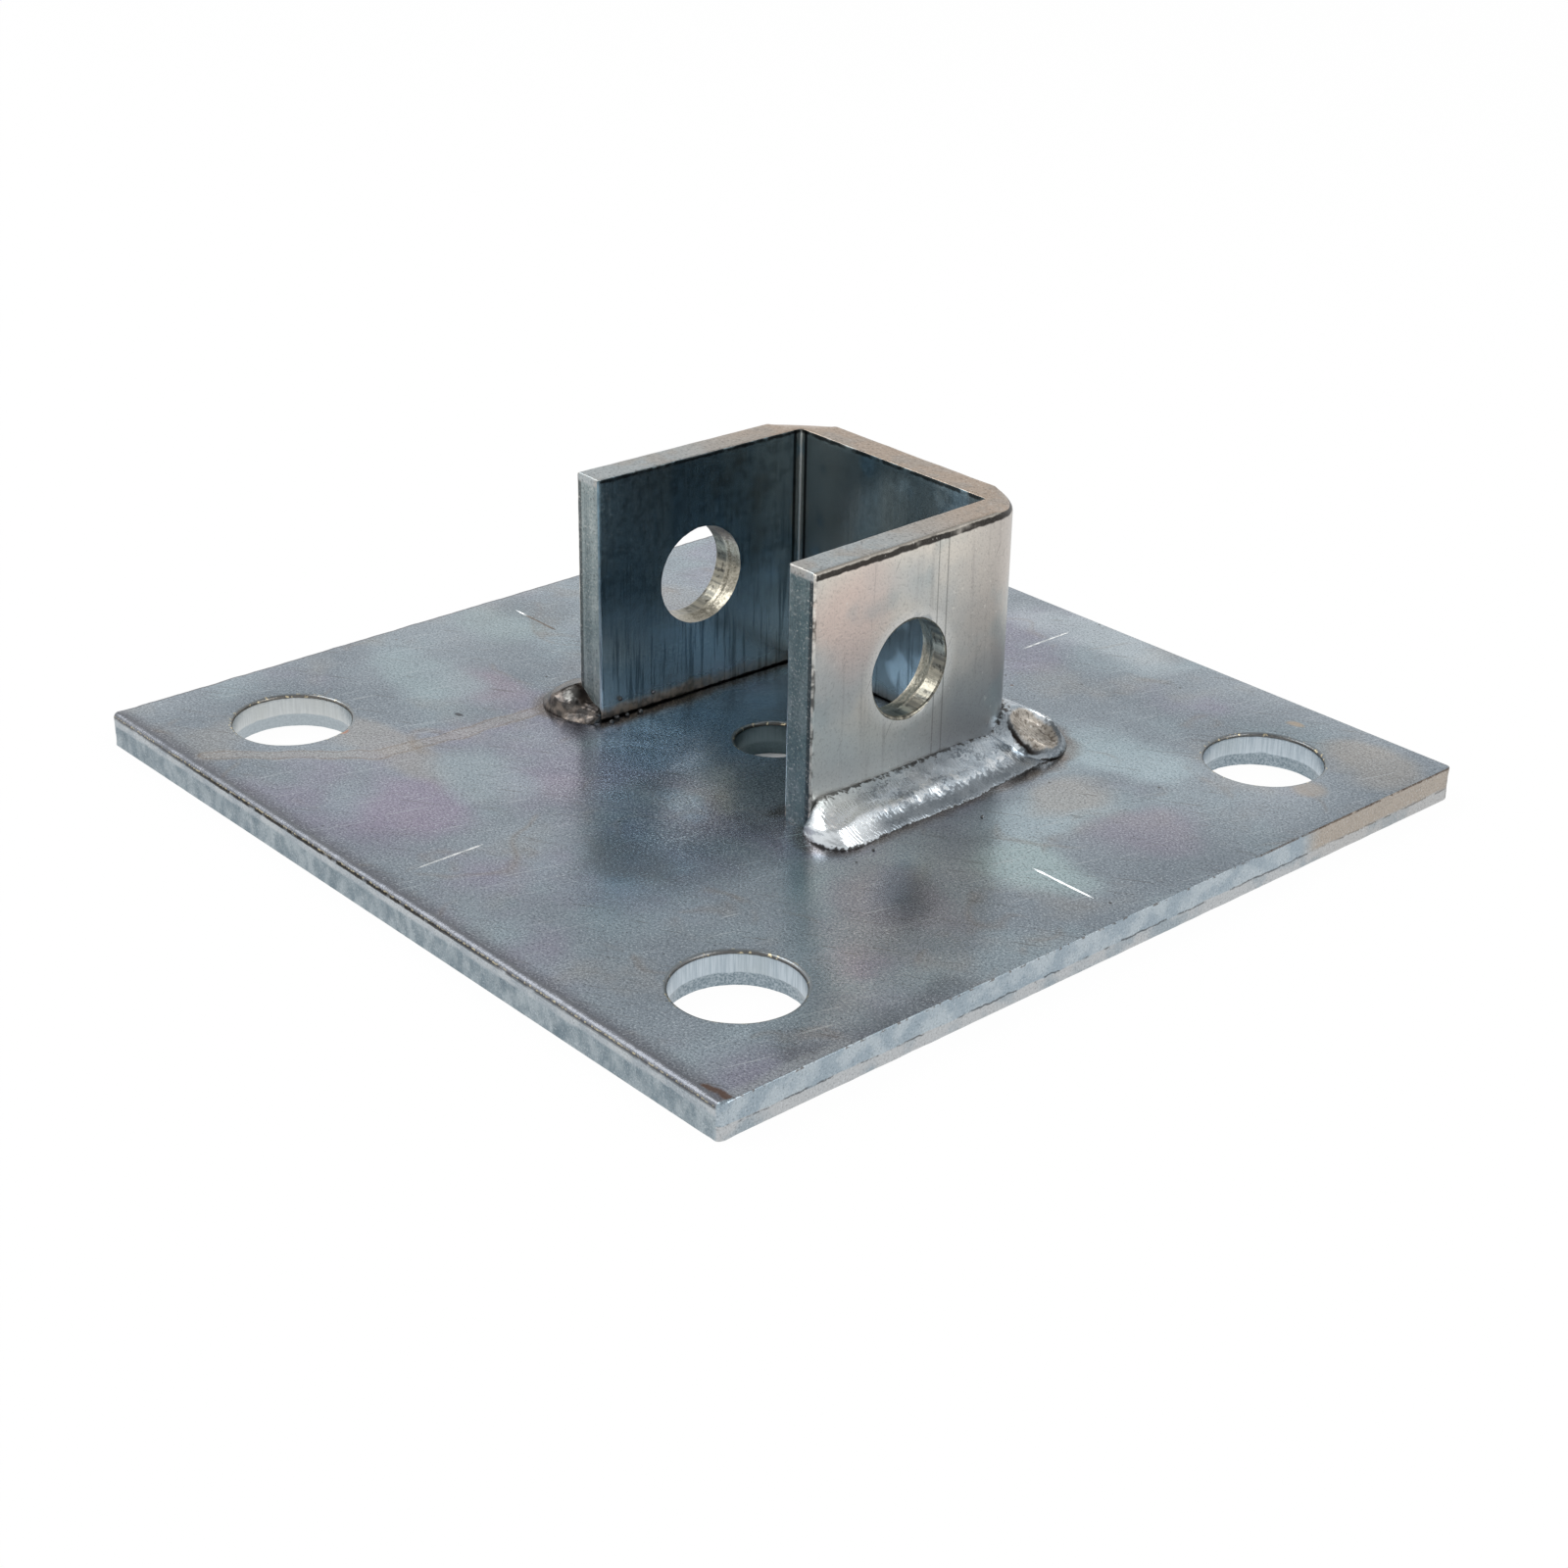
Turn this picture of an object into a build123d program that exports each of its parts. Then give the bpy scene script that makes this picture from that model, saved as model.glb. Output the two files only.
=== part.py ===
from build123d import *
from math import atan2, cos, degrees, hypot, radians, sin
import os

# A post base for strut channel: a U bent from flat bar, welded on a square plate.
# The origin is the centre of the plate's underside, +Z is up and the U opens towards -Y.
# All sizes are in millimetres and all angles in degrees.

# Base plate, sheared to a square
PLATE_SIDE = 152.4
PLATE_THICKNESS = 5.8
PLATE_CORNER = 1.0
PLATE_TOP_ARRIS = 0.9
PLATE_BOTTOM_ARRIS = 0.5

# Holes in the plate: an anchor hole near each corner, and one in the middle
ANCHOR_SPACING = 110.4
ANCHOR_HOLE = 19.05
CENTRE_HOLE = 12.7

# U bracket, bent from flat bar that stands on its edge
BAR_WIDTH = 41.3
BAR_THICKNESS = 5.6
BAR_ARRIS = 0.8
SOCKET_WIDTH = 42.6
SOCKET_DEPTH = 41.5
MOUTH_TO_CENTRE = 17.3
OFF_CENTRE = -0.4
EAR_SPLAY = 1.4
OUTER_BEND = 9.0
INNER_BEND = 0.5
BEND_DIP = 0.9
BOLT_HOLE = 15.5
BOLT_HOLE_INSET = 20.6

# What a punch leaves in a hole: a drawn rim, a straight land, then a wider break-out
PUNCH_ROLL = 0.4
PUNCH_LAND_SHARE = 0.6
PUNCH_BREAKOUT = 0.5

# Fillet welds along the outside of the U: their legs on the plate and on the bar
SIDE_LEG_NOSE = 8.9
SIDE_LEG_TAIL = 6.6
SIDE_LEG_BAR = 4.6
RIGHT_NOSE_REACH = 1.7
LEFT_NOSE_REACH = 4.4
NOSE_LENGTH = 5.0
TAIL_LENGTH = 3.0
TAIL_SETBACK = 2.5
BACK_LEG_PLATE = 7.0
BACK_LEG_BAR = 5.5
BACK_OVERRUN = 4.8
BACK_END_LENGTH = 5.0
BEAD_BULGE = 0.7
BEAD_BITE_SHARE = 0.75
BEAD_TIP_SHARE = 0.55

# The dished crater where the back weld ends, at the right corner of the U
CRATER_WIDTH = 8.0
CRATER_DEPTH = 0.7
CRATER_IN_FROM_TIP = 1.9
CRATER_OUT_FROM_WEB = 1.9
CRATER_HEIGHT = 3.3
CRATER_AZIMUTH = 35.0
CRATER_ELEVATION = 50.0

# Scribed lines that centre the U on the plate
MARK_LENGTH = 12.5
MARK_WIDTH = 0.5
MARK_DEPTH = 0.2
MARK_INSET = 6.6

# How far a cutting tool passes beyond the faces that it cuts
OVERSHOOT = 1.0

# Where a rounded bead end is sectioned, along a quarter of an ellipse
END_STATIONS = (90, 60, 35, 10)

plate_top = PLATE_THICKNESS
bracket_top = plate_top + BAR_WIDTH
mouth_y = -MOUTH_TO_CENTRE
web_inner_y = mouth_y + SOCKET_DEPTH
web_outer_y = web_inner_y + BAR_THICKNESS


def socket_corner(side, height):
    """Sharp inside corner of the U, on the right for side 1 and on the left for side -1."""
    return Vector(OFF_CENTRE + side * SOCKET_WIDTH / 2, web_inner_y, height)


def ear_plane(side):
    """Plane on an ear's outer face, at its foot and mouth: X runs back along the ear, Z points out."""
    splay = radians(EAR_SPLAY)
    along = Vector(-side * sin(splay), cos(splay), 0)
    outward = Vector(side * cos(splay), sin(splay), 0)
    foot = socket_corner(side, plate_top) - along * SOCKET_DEPTH + outward * BAR_THICKNESS
    return Plane(origin=foot, x_dir=along, z_dir=outward)


def web_plane():
    """Plane on the web's outer face, at its foot and middle: X runs to the right, Z points out."""
    return Plane(origin=(OFF_CENTRE, web_outer_y, plate_top), x_dir=(1, 0, 0), z_dir=(0, 1, 0))


def punched_hole(diameter, wall):
    """Cutter for a hole punched down Z through a wall whose near face is at z = 0."""
    radius = diameter / 2
    rim = radius + PUNCH_ROLL
    exit_radius = radius + PUNCH_BREAKOUT
    half_section = Polygon(
        (rim, 0),
        (rim, OVERSHOOT),
        (0, OVERSHOOT),
        (0, -wall - OVERSHOOT),
        (exit_radius, -wall - OVERSHOOT),
        (exit_radius, -wall),
        (radius, -wall * PUNCH_LAND_SHARE),
        (radius, -PUNCH_ROLL),
        align=None,
    )
    return revolve(Plane.XZ * half_section, Axis.Z)


def sheared_strip(section_plane):
    """Strip as long as the plate. The shear drew its near top arris and its far bottom arris round."""
    section = Rectangle(PLATE_SIDE, PLATE_THICKNESS)
    near_top = section.vertices().sort_by(Axis.Y)[2:].sort_by(Axis.X)[0]
    section = fillet(near_top, PLATE_TOP_ARRIS)
    far_bottom = section.vertices().sort_by(Axis.Y)[:2].sort_by(Axis.X)[1]
    section = fillet(far_bottom, PLATE_BOTTOM_ARRIS)
    strip = extrude(section_plane * section, PLATE_SIDE / 2, both=True)
    return Pos(0, 0, PLATE_THICKNESS / 2) * strip


def centre_mark():
    """Cutter for the scribed line that runs in from the middle of the +X edge."""
    half_width = MARK_WIDTH / 2 * (MARK_DEPTH + OVERSHOOT) / MARK_DEPTH
    section = Polygon(
        (-half_width, OVERSHOOT), (0, -MARK_DEPTH), (half_width, OVERSHOOT), align=None
    )
    start = PLATE_SIDE / 2 - MARK_INSET - MARK_LENGTH
    return Pos(start, 0, plate_top) * extrude(Plane.YZ * section, MARK_LENGTH)


def make_base_plate():
    plate = extrude(RectangleRounded(PLATE_SIDE, PLATE_SIDE, PLATE_CORNER), PLATE_THICKNESS)
    plate &= sheared_strip(Plane.XZ)
    plate &= sheared_strip(Plane.YZ)
    top_face = Pos(0, 0, plate_top)
    anchor_hole = punched_hole(ANCHOR_HOLE, PLATE_THICKNESS)
    for corner in GridLocations(ANCHOR_SPACING, ANCHOR_SPACING, 2, 2):
        plate -= top_face * corner * anchor_hole
    plate -= top_face * punched_hole(CENTRE_HOLE, PLATE_THICKNESS)
    for turn in range(4):
        plate -= Rot(0, 0, 90 * turn) * centre_mark()
    return plate


def bracket_outline():
    """Plan of the bent bar: square ends on splayed ears, tight inner bends and round outer ones."""
    halves = []
    for side in (-1, 1):
        ear = ear_plane(side)
        outer_end = ear.origin
        inner_end = ear.origin - ear.z_dir * BAR_THICKNESS
        outer_bend = ear.origin + ear.x_dir * ((web_outer_y - ear.origin.Y) / ear.x_dir.Y)
        corners = (outer_bend, outer_end, inner_end, socket_corner(side, plate_top))
        halves.append([(corner.X, corner.Y) for corner in corners])
    outline = Polygon(*halves[0], *reversed(halves[1]), align=None)
    outer_bends = outline.vertices().sort_by(Axis.Y)[-2:]
    outline = fillet(outer_bends, OUTER_BEND)
    inner_bends = outline.vertices().filter_by(lambda spot: abs(spot.Y - web_inner_y) < OVERSHOOT / 10)
    return fillet(inner_bends, INNER_BEND)


def bend_dip(side):
    """Cutter that lets the top of a bend sink towards its stretched outer edge."""
    reach = hypot(BAR_THICKNESS, BAR_THICKNESS) - OUTER_BEND * (hypot(1, 1) - 1)
    slope = degrees(atan2(BEND_DIP, reach))
    above = Box(BAR_WIDTH, BAR_WIDTH, BAR_WIDTH, align=(Align.MIN, Align.CENTER, Align.MIN))
    corner = Pos(socket_corner(side, bracket_top))
    return corner * Rot(0, 0, 90 - side * 45) * Rot(0, slope, 0) * above


def make_strut_bracket():
    bracket = extrude(Pos(0, 0, plate_top) * bracket_outline(), BAR_WIDTH)
    bracket -= bend_dip(1)
    bracket -= bend_dip(-1)
    # The rounding of the web's outer top edge runs on round both bends and along the ears.
    web_edges = bracket.edges().filter_by(Axis.X).sort_by(Axis.Y)[-2:]
    bracket = fillet(web_edges.sort_by(Axis.Z)[-1], BAR_ARRIS)
    for side in (1, -1):
        hole_x = (ear_plane(side).origin + ear_plane(side).x_dir * BOLT_HOLE_INSET).X
        hole = Pos(hole_x, mouth_y + BOLT_HOLE_INSET, plate_top + BOLT_HOLE_INSET)
        bracket -= hole * Rot(0, side * 90, 0) * punched_hole(BOLT_HOLE, BAR_THICKNESS)
    return bracket


def bead_station(joint, along, legs, size):
    """Section of a fillet bead at a distance along its joint, scaled about the middle of its foot."""
    plate_leg, bar_leg = legs
    middle = plate_leg * BEAD_TIP_SHARE
    toe = middle + (plate_leg - middle) * size
    shoulder = middle * (1 - size)
    height = bar_leg * size
    root = shoulder - BAR_THICKNESS * BEAD_BITE_SHARE * size
    bulge = BEAD_BULGE * size / hypot(toe - shoulder, height)
    crown = ((toe + shoulder) / 2 + bulge * height, height / 2 + bulge * (toe - shoulder))
    origin = joint.origin + joint.x_dir * along
    plane = Plane(origin=origin, x_dir=joint.z_dir, z_dir=joint.z_dir.cross(Vector(0, 0, 1)))
    with BuildSketch(plane) as section:
        with BuildLine():
            ThreePointArc((toe, 0), crown, (shoulder, height))
            Polyline((shoulder, height), (root, height), (root, 0), (toe, 0))
        make_face()
    return section.sketch


def rounded_bead_end(joint, full, reach, legs):
    """End of a bead that falls away from its full section as a quarter of an ellipse."""
    stations = []
    for angle in END_STATIONS:
        along = full + reach * cos(radians(angle))
        stations.append(bead_station(joint, along, legs, sin(radians(angle))))
    return loft(stations, ruled=True)


def make_bead(joint, start, end, start_legs, end_legs):
    """Fillet bead along a joint, between two ends that each give a place and a rounded length."""
    first = start[0] + start[1]
    last = end[0] - end[1]
    bead = loft([bead_station(joint, first, start_legs, 1), bead_station(joint, last, end_legs, 1)])
    bead += rounded_bead_end(joint, first, -start[1], start_legs)
    bead += rounded_bead_end(joint, last, end[1], end_legs)
    return bead


def make_side_weld(side, nose_reach):
    nose = (-nose_reach, NOSE_LENGTH)
    tail = (SOCKET_DEPTH + BAR_THICKNESS - TAIL_SETBACK, TAIL_LENGTH)
    nose_legs = (SIDE_LEG_NOSE, SIDE_LEG_BAR)
    tail_legs = (SIDE_LEG_TAIL, SIDE_LEG_BAR)
    return make_bead(ear_plane(side), nose, tail, nose_legs, tail_legs)


def make_back_weld():
    tip = SOCKET_WIDTH / 2 + BAR_THICKNESS + BACK_OVERRUN
    legs = (BACK_LEG_PLATE, BACK_LEG_BAR)
    bead = make_bead(web_plane(), (-tip, BACK_END_LENGTH), (tip, BACK_END_LENGTH), legs, legs)
    dish_radius = (CRATER_WIDTH ** 2 / 4 + CRATER_DEPTH ** 2) / (2 * CRATER_DEPTH)
    lowest = Pos(
        OFF_CENTRE + tip - CRATER_IN_FROM_TIP,
        web_outer_y + CRATER_OUT_FROM_WEB,
        plate_top + CRATER_HEIGHT,
    )
    facing = Rot(0, 0, CRATER_AZIMUTH) * Rot(0, -CRATER_ELEVATION, 0)
    return bead - lowest * facing * Pos(dish_radius, 0, 0) * Sphere(dish_radius)


base_plate = make_base_plate()
strut_bracket = make_strut_bracket()
weld_right = make_side_weld(1, RIGHT_NOSE_REACH) - strut_bracket
weld_left = make_side_weld(-1, LEFT_NOSE_REACH) - strut_bracket
weld_back = make_back_weld() - strut_bracket - weld_right - weld_left

os.makedirs("parts", exist_ok=True)
export_step(base_plate, "parts/base_plate.step")
export_step(strut_bracket, "parts/strut_bracket.step")
export_step(weld_right, "parts/weld_right.step")
export_step(weld_left, "parts/weld_left.step")
export_step(weld_back, "parts/weld_back.step")
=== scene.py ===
import math

import bmesh
import bpy
from mathutils import Matrix, Vector, geometry, noise

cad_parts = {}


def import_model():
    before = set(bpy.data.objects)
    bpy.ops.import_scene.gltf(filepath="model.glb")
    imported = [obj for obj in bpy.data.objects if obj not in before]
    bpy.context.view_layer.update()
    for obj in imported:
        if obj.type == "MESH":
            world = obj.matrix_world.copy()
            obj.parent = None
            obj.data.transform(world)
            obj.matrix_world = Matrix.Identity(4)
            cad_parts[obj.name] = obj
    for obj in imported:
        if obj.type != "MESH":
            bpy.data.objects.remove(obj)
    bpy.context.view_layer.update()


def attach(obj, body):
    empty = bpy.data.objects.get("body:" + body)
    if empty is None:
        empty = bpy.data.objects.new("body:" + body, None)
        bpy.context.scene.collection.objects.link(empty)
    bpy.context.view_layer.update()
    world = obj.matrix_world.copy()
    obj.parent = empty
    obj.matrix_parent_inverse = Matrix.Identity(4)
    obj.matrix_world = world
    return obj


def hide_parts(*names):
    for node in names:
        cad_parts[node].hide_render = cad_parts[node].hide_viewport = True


# A post base for strut channel: a U bent from flat bar, welded on a square plate, then zinc plated.
# Sizes below are in millimetres and angles in degrees, as in the part's source.
MM = 0.001

PLATE_SIDE = 152.4
PLATE_THICKNESS = 5.8
PLATE_CORNER = 1.0
ANCHOR_SPACING = 110.4
ANCHOR_HOLE = 19.05
CENTRE_HOLE = 12.7

BAR_WIDTH = 41.3
BAR_THICKNESS = 5.6
SOCKET_WIDTH = 42.6
SOCKET_DEPTH = 41.5
MOUTH_TO_CENTRE = 17.3
OFF_CENTRE = -0.4
EAR_SPLAY = 1.4
OUTER_BEND = 9.0
INNER_BEND = 0.5
BEND_DIP = 0.9
BOLT_HOLE = 15.5
BOLT_HOLE_INSET = 20.6
PUNCH_LAND_SHARE = 0.6
PUNCH_BREAKOUT = 0.5

MARK_LENGTH = 12.5
MARK_WIDTH = 0.5
MARK_DEPTH = 0.2
MARK_INSET = 6.6

plate_half = PLATE_SIDE / 2
plate_top = PLATE_THICKNESS
bracket_top = plate_top + BAR_WIDTH
mouth_y = -MOUTH_TO_CENTRE
web_inner_y = mouth_y + SOCKET_DEPTH
web_outer_y = web_inner_y + BAR_THICKNESS


# Small helpers for shapes

def wobble(*place, size):
    """Smooth random value from -1 to 1 that changes over about a size in millimetres."""
    return noise.noise(Vector(place) / size)


def ease(value, low, high):
    """Smooth step from 0 at low to 1 at high."""
    share = min(max((value - low) / (high - low), 0), 1)
    return share * share * (3 - 2 * share)


def mix(first, second, share):
    return first + (second - first) * share


def quarter(steps):
    """Angles from 0 to a right angle, both ends included."""
    return [math.pi / 2 * step / steps for step in range(steps + 1)]


def turned(direction, angle):
    """A direction in plan, turned clockwise by an angle."""
    cos, sin = math.cos(angle), math.sin(angle)
    return Vector((direction.x * cos + direction.y * sin, direction.y * cos - direction.x * sin))


def band(faces, first, second, finish, closed=True):
    """Quads between two rows of points."""
    count = len(first)
    for i in range(count if closed else count - 1):
        j = (i + 1) % count
        faces.append(((first[i], first[j], second[j], second[i]), finish))


def make_piece(name, points, faces, finishes, sharp_angle=32):
    """Mesh object from points in millimetres and from faces that each carry a finish's number."""
    mesh = bpy.data.meshes.new(name)
    mesh.from_pydata([Vector(point) * MM for point in points], [], [face for face, _ in faces])
    for finish in finishes:
        mesh.materials.append(finish)
    mesh.polygons.foreach_set("material_index", [finish for _, finish in faces])
    shell = bmesh.new()
    shell.from_mesh(mesh)
    bmesh.ops.recalc_face_normals(shell, faces=shell.faces)
    shell.to_mesh(mesh)
    shell.free()
    mesh.shade_smooth()
    mesh.set_sharp_from_angle(angle=math.radians(sharp_angle))
    piece = bpy.data.objects.new(name, mesh)
    bpy.context.scene.collection.objects.link(piece)
    return piece


# Base plate

# Numbers of the plate's finishes
MILL_FACE, SHEARED_EDGE, PUNCHED_WALL, SCRIBED_MARK = range(4)

# How far in and how far down the shear rolled the top edge, and how far it rolled the bottom edge
CUT_FROM_ABOVE = (1.25, 0.95, 0.12)
CUT_FROM_BELOW = (0.16, 0.16, 0.5)
CORNER_ROLL = 0.8
ROLL_CHANGE = 3

SIDE_STEPS = 236
CORNER_STEPS = 8
ANCHOR_SEGMENTS = 132
CENTRE_SEGMENTS = 96


def plate_outline():
    """Stations round the plate: place, outward direction, and the roll at the top and bottom edge."""
    straight = plate_half - PLATE_CORNER
    rolls = (CUT_FROM_ABOVE, CUT_FROM_BELOW, CUT_FROM_BELOW, CUT_FROM_ABOVE)
    stations = []
    for side in range(4):
        out = turned(Vector((0, -1)), -side * math.pi / 2)
        run = turned(out, -math.pi / 2)
        before, own, after = (rolls[(side + step) % 4] for step in (-1, 0, 1))
        for step in range(SIDE_STEPS):
            along = mix(-straight, straight, step / SIDE_STEPS)
            # Near a corner the roll passes over into the next side's.
            towards_next = ease(along, straight - ROLL_CHANGE, straight + ROLL_CHANGE)
            towards_last = ease(-along, straight - ROLL_CHANGE, straight + ROLL_CHANGE)
            roll = [mix(mix(a, b, towards_next), c, towards_last) for a, b, c in zip(own, after, before)]
            near_corner = ease(abs(along), straight - ROLL_CHANGE, straight)
            roll[0] = mix(roll[0], min(roll[0], CORNER_ROLL), near_corner)
            stations.append((out * plate_half + run * along, out, roll))
        corner = run * straight + out * straight
        for step in range(CORNER_STEPS):
            facing = turned(out, -math.pi / 2 * step / CORNER_STEPS)
            passed = ROLL_CHANGE * step / CORNER_STEPS - ROLL_CHANGE / 2 + 0.001
            roll = [mix(a, b, ease(passed, -ROLL_CHANGE, ROLL_CHANGE)) for a, b in zip(own, after)]
            roll[0] = min(roll[0], CORNER_ROLL)
            stations.append((corner + facing * PLATE_CORNER, facing, roll))
    return stations


def plate_edge_ring(place, facing, roll):
    """Points down the plate's sheared edge at one station, from the top face to the underside."""
    x, y = place
    uneven = 1 + 0.22 * wobble(x, y, 0, size=4) + 0.12 * wobble(x, y, 9, size=1.1)
    top_width, top_drop, bottom = (value * uneven for value in roll)
    drawn_from_top = ease(roll[0], 0.3, 0.8)
    ring = []
    for angle in quarter(6):
        ring.append((top_width * (1 - math.sin(angle)), plate_top - top_drop * (1 - math.cos(angle))))
    levels = 14
    for step in range(1, levels):
        height = mix(plate_top - top_drop, bottom, step / levels)
        tear = 2.3 + 0.5 * wobble(x, y, 3, size=7) + 0.35 * wobble(x, y, 5, size=1.6)
        above_tear = ease(height, tear - 0.15, tear + 0.15)
        torn = mix(above_tear, 1 - above_tear, drawn_from_top)
        rough = 0.07 + 0.04 * wobble(x, y, height, size=0.9) + 0.03 * wobble(x, y, height, size=3)
        smooth = 0.02 + 0.02 * wobble(x, y, height / 3, size=5)
        fade = ease(step, 0, 3) * ease(levels - step, 0, 2)
        ring.append((max(mix(smooth, rough, torn) * fade, 0), height))
    for angle in quarter(4):
        ring.append((bottom * (1 - math.cos(angle)), bottom * (1 - math.sin(angle))))
    return [(x - facing.x * inset, y - facing.y * inset, z) for inset, z in ring]


def punched_profile(radius, wall, angle, seed):
    """Radius against depth of a punched wall: drawn rim, straight land, then a torn break-out."""
    cos, sin = math.cos(angle) * radius, math.sin(angle) * radius
    tear = wall * PUNCH_LAND_SHARE + 0.35 * wobble(cos, sin, seed, size=3)
    tear += 0.2 * wobble(cos, sin, seed + 7, size=0.9)
    rim = 0.5 * (1 + 0.25 * wobble(cos, sin, seed + 3, size=4))
    profile = []
    for step in quarter(5):
        profile.append((radius + rim * (1 - math.sin(step)) * 1.1, rim * (1 - math.cos(step))))
    steps = 13
    for step in range(1, steps + 1):
        depth = mix(rim, wall, step / steps)
        torn = ease(depth, tear - 0.1, tear + 0.25)
        opened = PUNCH_BREAKOUT * (0.35 + 0.65 * ease(depth, tear, wall))
        rough = 0.07 * wobble(cos, sin, depth + seed, size=0.8) + 0.05 * wobble(cos, sin, depth, size=2.5)
        land = 0.012 * wobble(cos, sin, seed, size=1.2)
        profile.append((radius + mix(land, opened + rough, torn), depth))
    return profile


def add_punched_wall(points, faces, centre, diameter, segments, seed, finish):
    """Wall of a punched hole through the plate. Gives its rim at the top and at the underside."""
    rings = []
    for step in range(segments):
        angle = 2 * math.pi * step / segments
        first = len(points)
        for radius, depth in punched_profile(diameter / 2, PLATE_THICKNESS, angle, seed):
            x, y = centre.x + radius * math.cos(angle), centre.y + radius * math.sin(angle)
            points.append((x, y, plate_top - depth))
        rings.append(range(first, len(points)))
    for one, other in zip(rings, rings[1:] + rings[:1]):
        band(faces, one, other, finish, closed=False)
    return [ring[0] for ring in rings], [ring[-1] for ring in rings]


def add_scribed_mark(points, faces, start, run, finish):
    """Groove that a scriber cut into the plate's top, as a row of quads each side of its bottom."""
    across = turned(run, math.pi / 2)
    count = 26
    left, bottom, right = [], [], []
    for step in range(1, count):
        place = start + run * (MARK_LENGTH * step / count)
        taper = min(ease(step, 0, 5), ease(count - step, 0, 3))
        pressed = taper * (0.8 + 0.35 * wobble(place.x, place.y, 0, size=2))
        drift = 0.06 * wobble(place.x, place.y, 5, size=6)
        for row, aside, depth in ((left, 0.5, 0), (bottom, 0.05, 1), (right, -0.5, 0)):
            spot = place + across * (aside * MARK_WIDTH * pressed * 1.05 + drift)
            row.append(len(points))
            points.append((spot.x, spot.y, plate_top - depth * MARK_DEPTH * pressed))
    tips = []
    for place in (start, start + run * MARK_LENGTH):
        tips.append(len(points))
        points.append((place.x, place.y, plate_top))
    band(faces, left, bottom, finish, closed=False)
    band(faces, bottom, right, finish, closed=False)
    for tip, at in zip(tips, (0, -1)):
        faces.append(((left[at], bottom[at], tip), finish))
        faces.append(((bottom[at], right[at], tip), finish))
    return [tips[0]] + right + [tips[1]] + left[::-1]


def fill_face(points, faces, outline, openings, finish):
    """Flat face inside an outline, with openings left out, from triangles over all their points."""
    loops = [outline] + openings
    order, edges, loop_of = [], [], []
    for number, loop in enumerate(loops):
        first = len(order)
        order += loop
        loop_of += [number] * len(loop)
        edges += [(first + i, first + (i + 1) % len(loop)) for i in range(len(loop))]
    flat = [Vector(points[index][:2]) for index in order]
    turns_left = []
    for loop in loops:
        places = [points[index] for index in loop]
        area = sum(a[0] * b[1] - b[0] * a[1] for a, b in zip(places, places[1:] + places[:1]))
        turns_left.append(area > 0)
    _, _, triangles, sources, _, _ = geometry.delaunay_2d_cdt(flat, edges, [], 0, 1e-7)
    for triangle in triangles:
        corners = [sources[corner][0] for corner in triangle]
        numbers = {loop_of[corner] for corner in corners}
        if len(numbers) == 1:
            # A triangle between three points of one loop lies inside it if it turns the way the loop does.
            number = numbers.pop()
            a, b, c = (flat[corner] for corner in sorted(corners))
            inside = ((b - a).cross(c - a) > 0) == turns_left[number]
            if inside != (number == 0):
                continue
        faces.append((tuple(order[corner] for corner in corners), finish))


def make_plate(*finishes):
    """The plate as one mesh: sheared edge, punched walls, scribed marks and the two faces between them."""
    points, faces = [], []
    rings = []
    for place, facing, roll in plate_outline():
        first = len(points)
        points += plate_edge_ring(place, facing, roll)
        rings.append(range(first, len(points)))
    for one, other in zip(rings, rings[1:] + rings[:1]):
        band(faces, one, other, SHEARED_EDGE, closed=False)
    top_openings, bottom_openings = [], []
    anchor = ANCHOR_SPACING / 2
    holes = [(x, y, ANCHOR_HOLE, ANCHOR_SEGMENTS) for x in (-anchor, anchor) for y in (-anchor, anchor)]
    holes.append((0, 0, CENTRE_HOLE, CENTRE_SEGMENTS))
    for number, (x, y, diameter, segments) in enumerate(holes):
        top, bottom = add_punched_wall(
            points, faces, Vector((x, y)), diameter, segments, 11 * number, PUNCHED_WALL,
        )
        top_openings.append(top)
        bottom_openings.append(bottom)
    for turn in range(4):
        inward = turned(Vector((0, 1)), turn * math.pi / 2)
        start = -inward * (plate_half - MARK_INSET)
        top_openings.append(add_scribed_mark(points, faces, start, inward, SCRIBED_MARK))
    fill_face(points, faces, [ring[0] for ring in rings], top_openings, MILL_FACE)
    fill_face(points, faces, [ring[-1] for ring in rings], bottom_openings, MILL_FACE)
    return make_piece("plate_sheared_and_punched", points, faces, finishes)


# U bracket

# Numbers of the bar's finishes
OUTSIDE, INSIDE, EDGE = range(3)

BEND_STEPS = 22
EAR_STEPS = 44
WEB_STEPS = 30
WALL_LEVELS = 34
TOP_STEPS = 9
FOOT_STEPS = 3
BOLT_HOLE_SEGMENTS = 112


def ear_frame(side):
    """Foot of an ear's outer face at its mouth, the way back along it, and the way out of it."""
    splay = math.radians(EAR_SPLAY)
    along = Vector((-side * math.sin(splay), math.cos(splay)))
    outward = Vector((side * math.cos(splay), math.sin(splay)))
    corner = Vector((OFF_CENTRE + side * SOCKET_WIDTH / 2, web_inner_y))
    return corner - along * SOCKET_DEPTH + outward * BAR_THICKNESS, along, outward


def bend(corner, before, after, radius, steps):
    """Points round a bend between two directions in plan. It turns clockwise."""
    turn = before.angle(after)
    start = corner - before * radius * math.tan(turn / 2)
    left = turned(before, -math.pi / 2)
    centre = start - left * radius
    return [centre + turned(left, turn * step / steps) * radius for step in range(steps + 1)]


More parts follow.
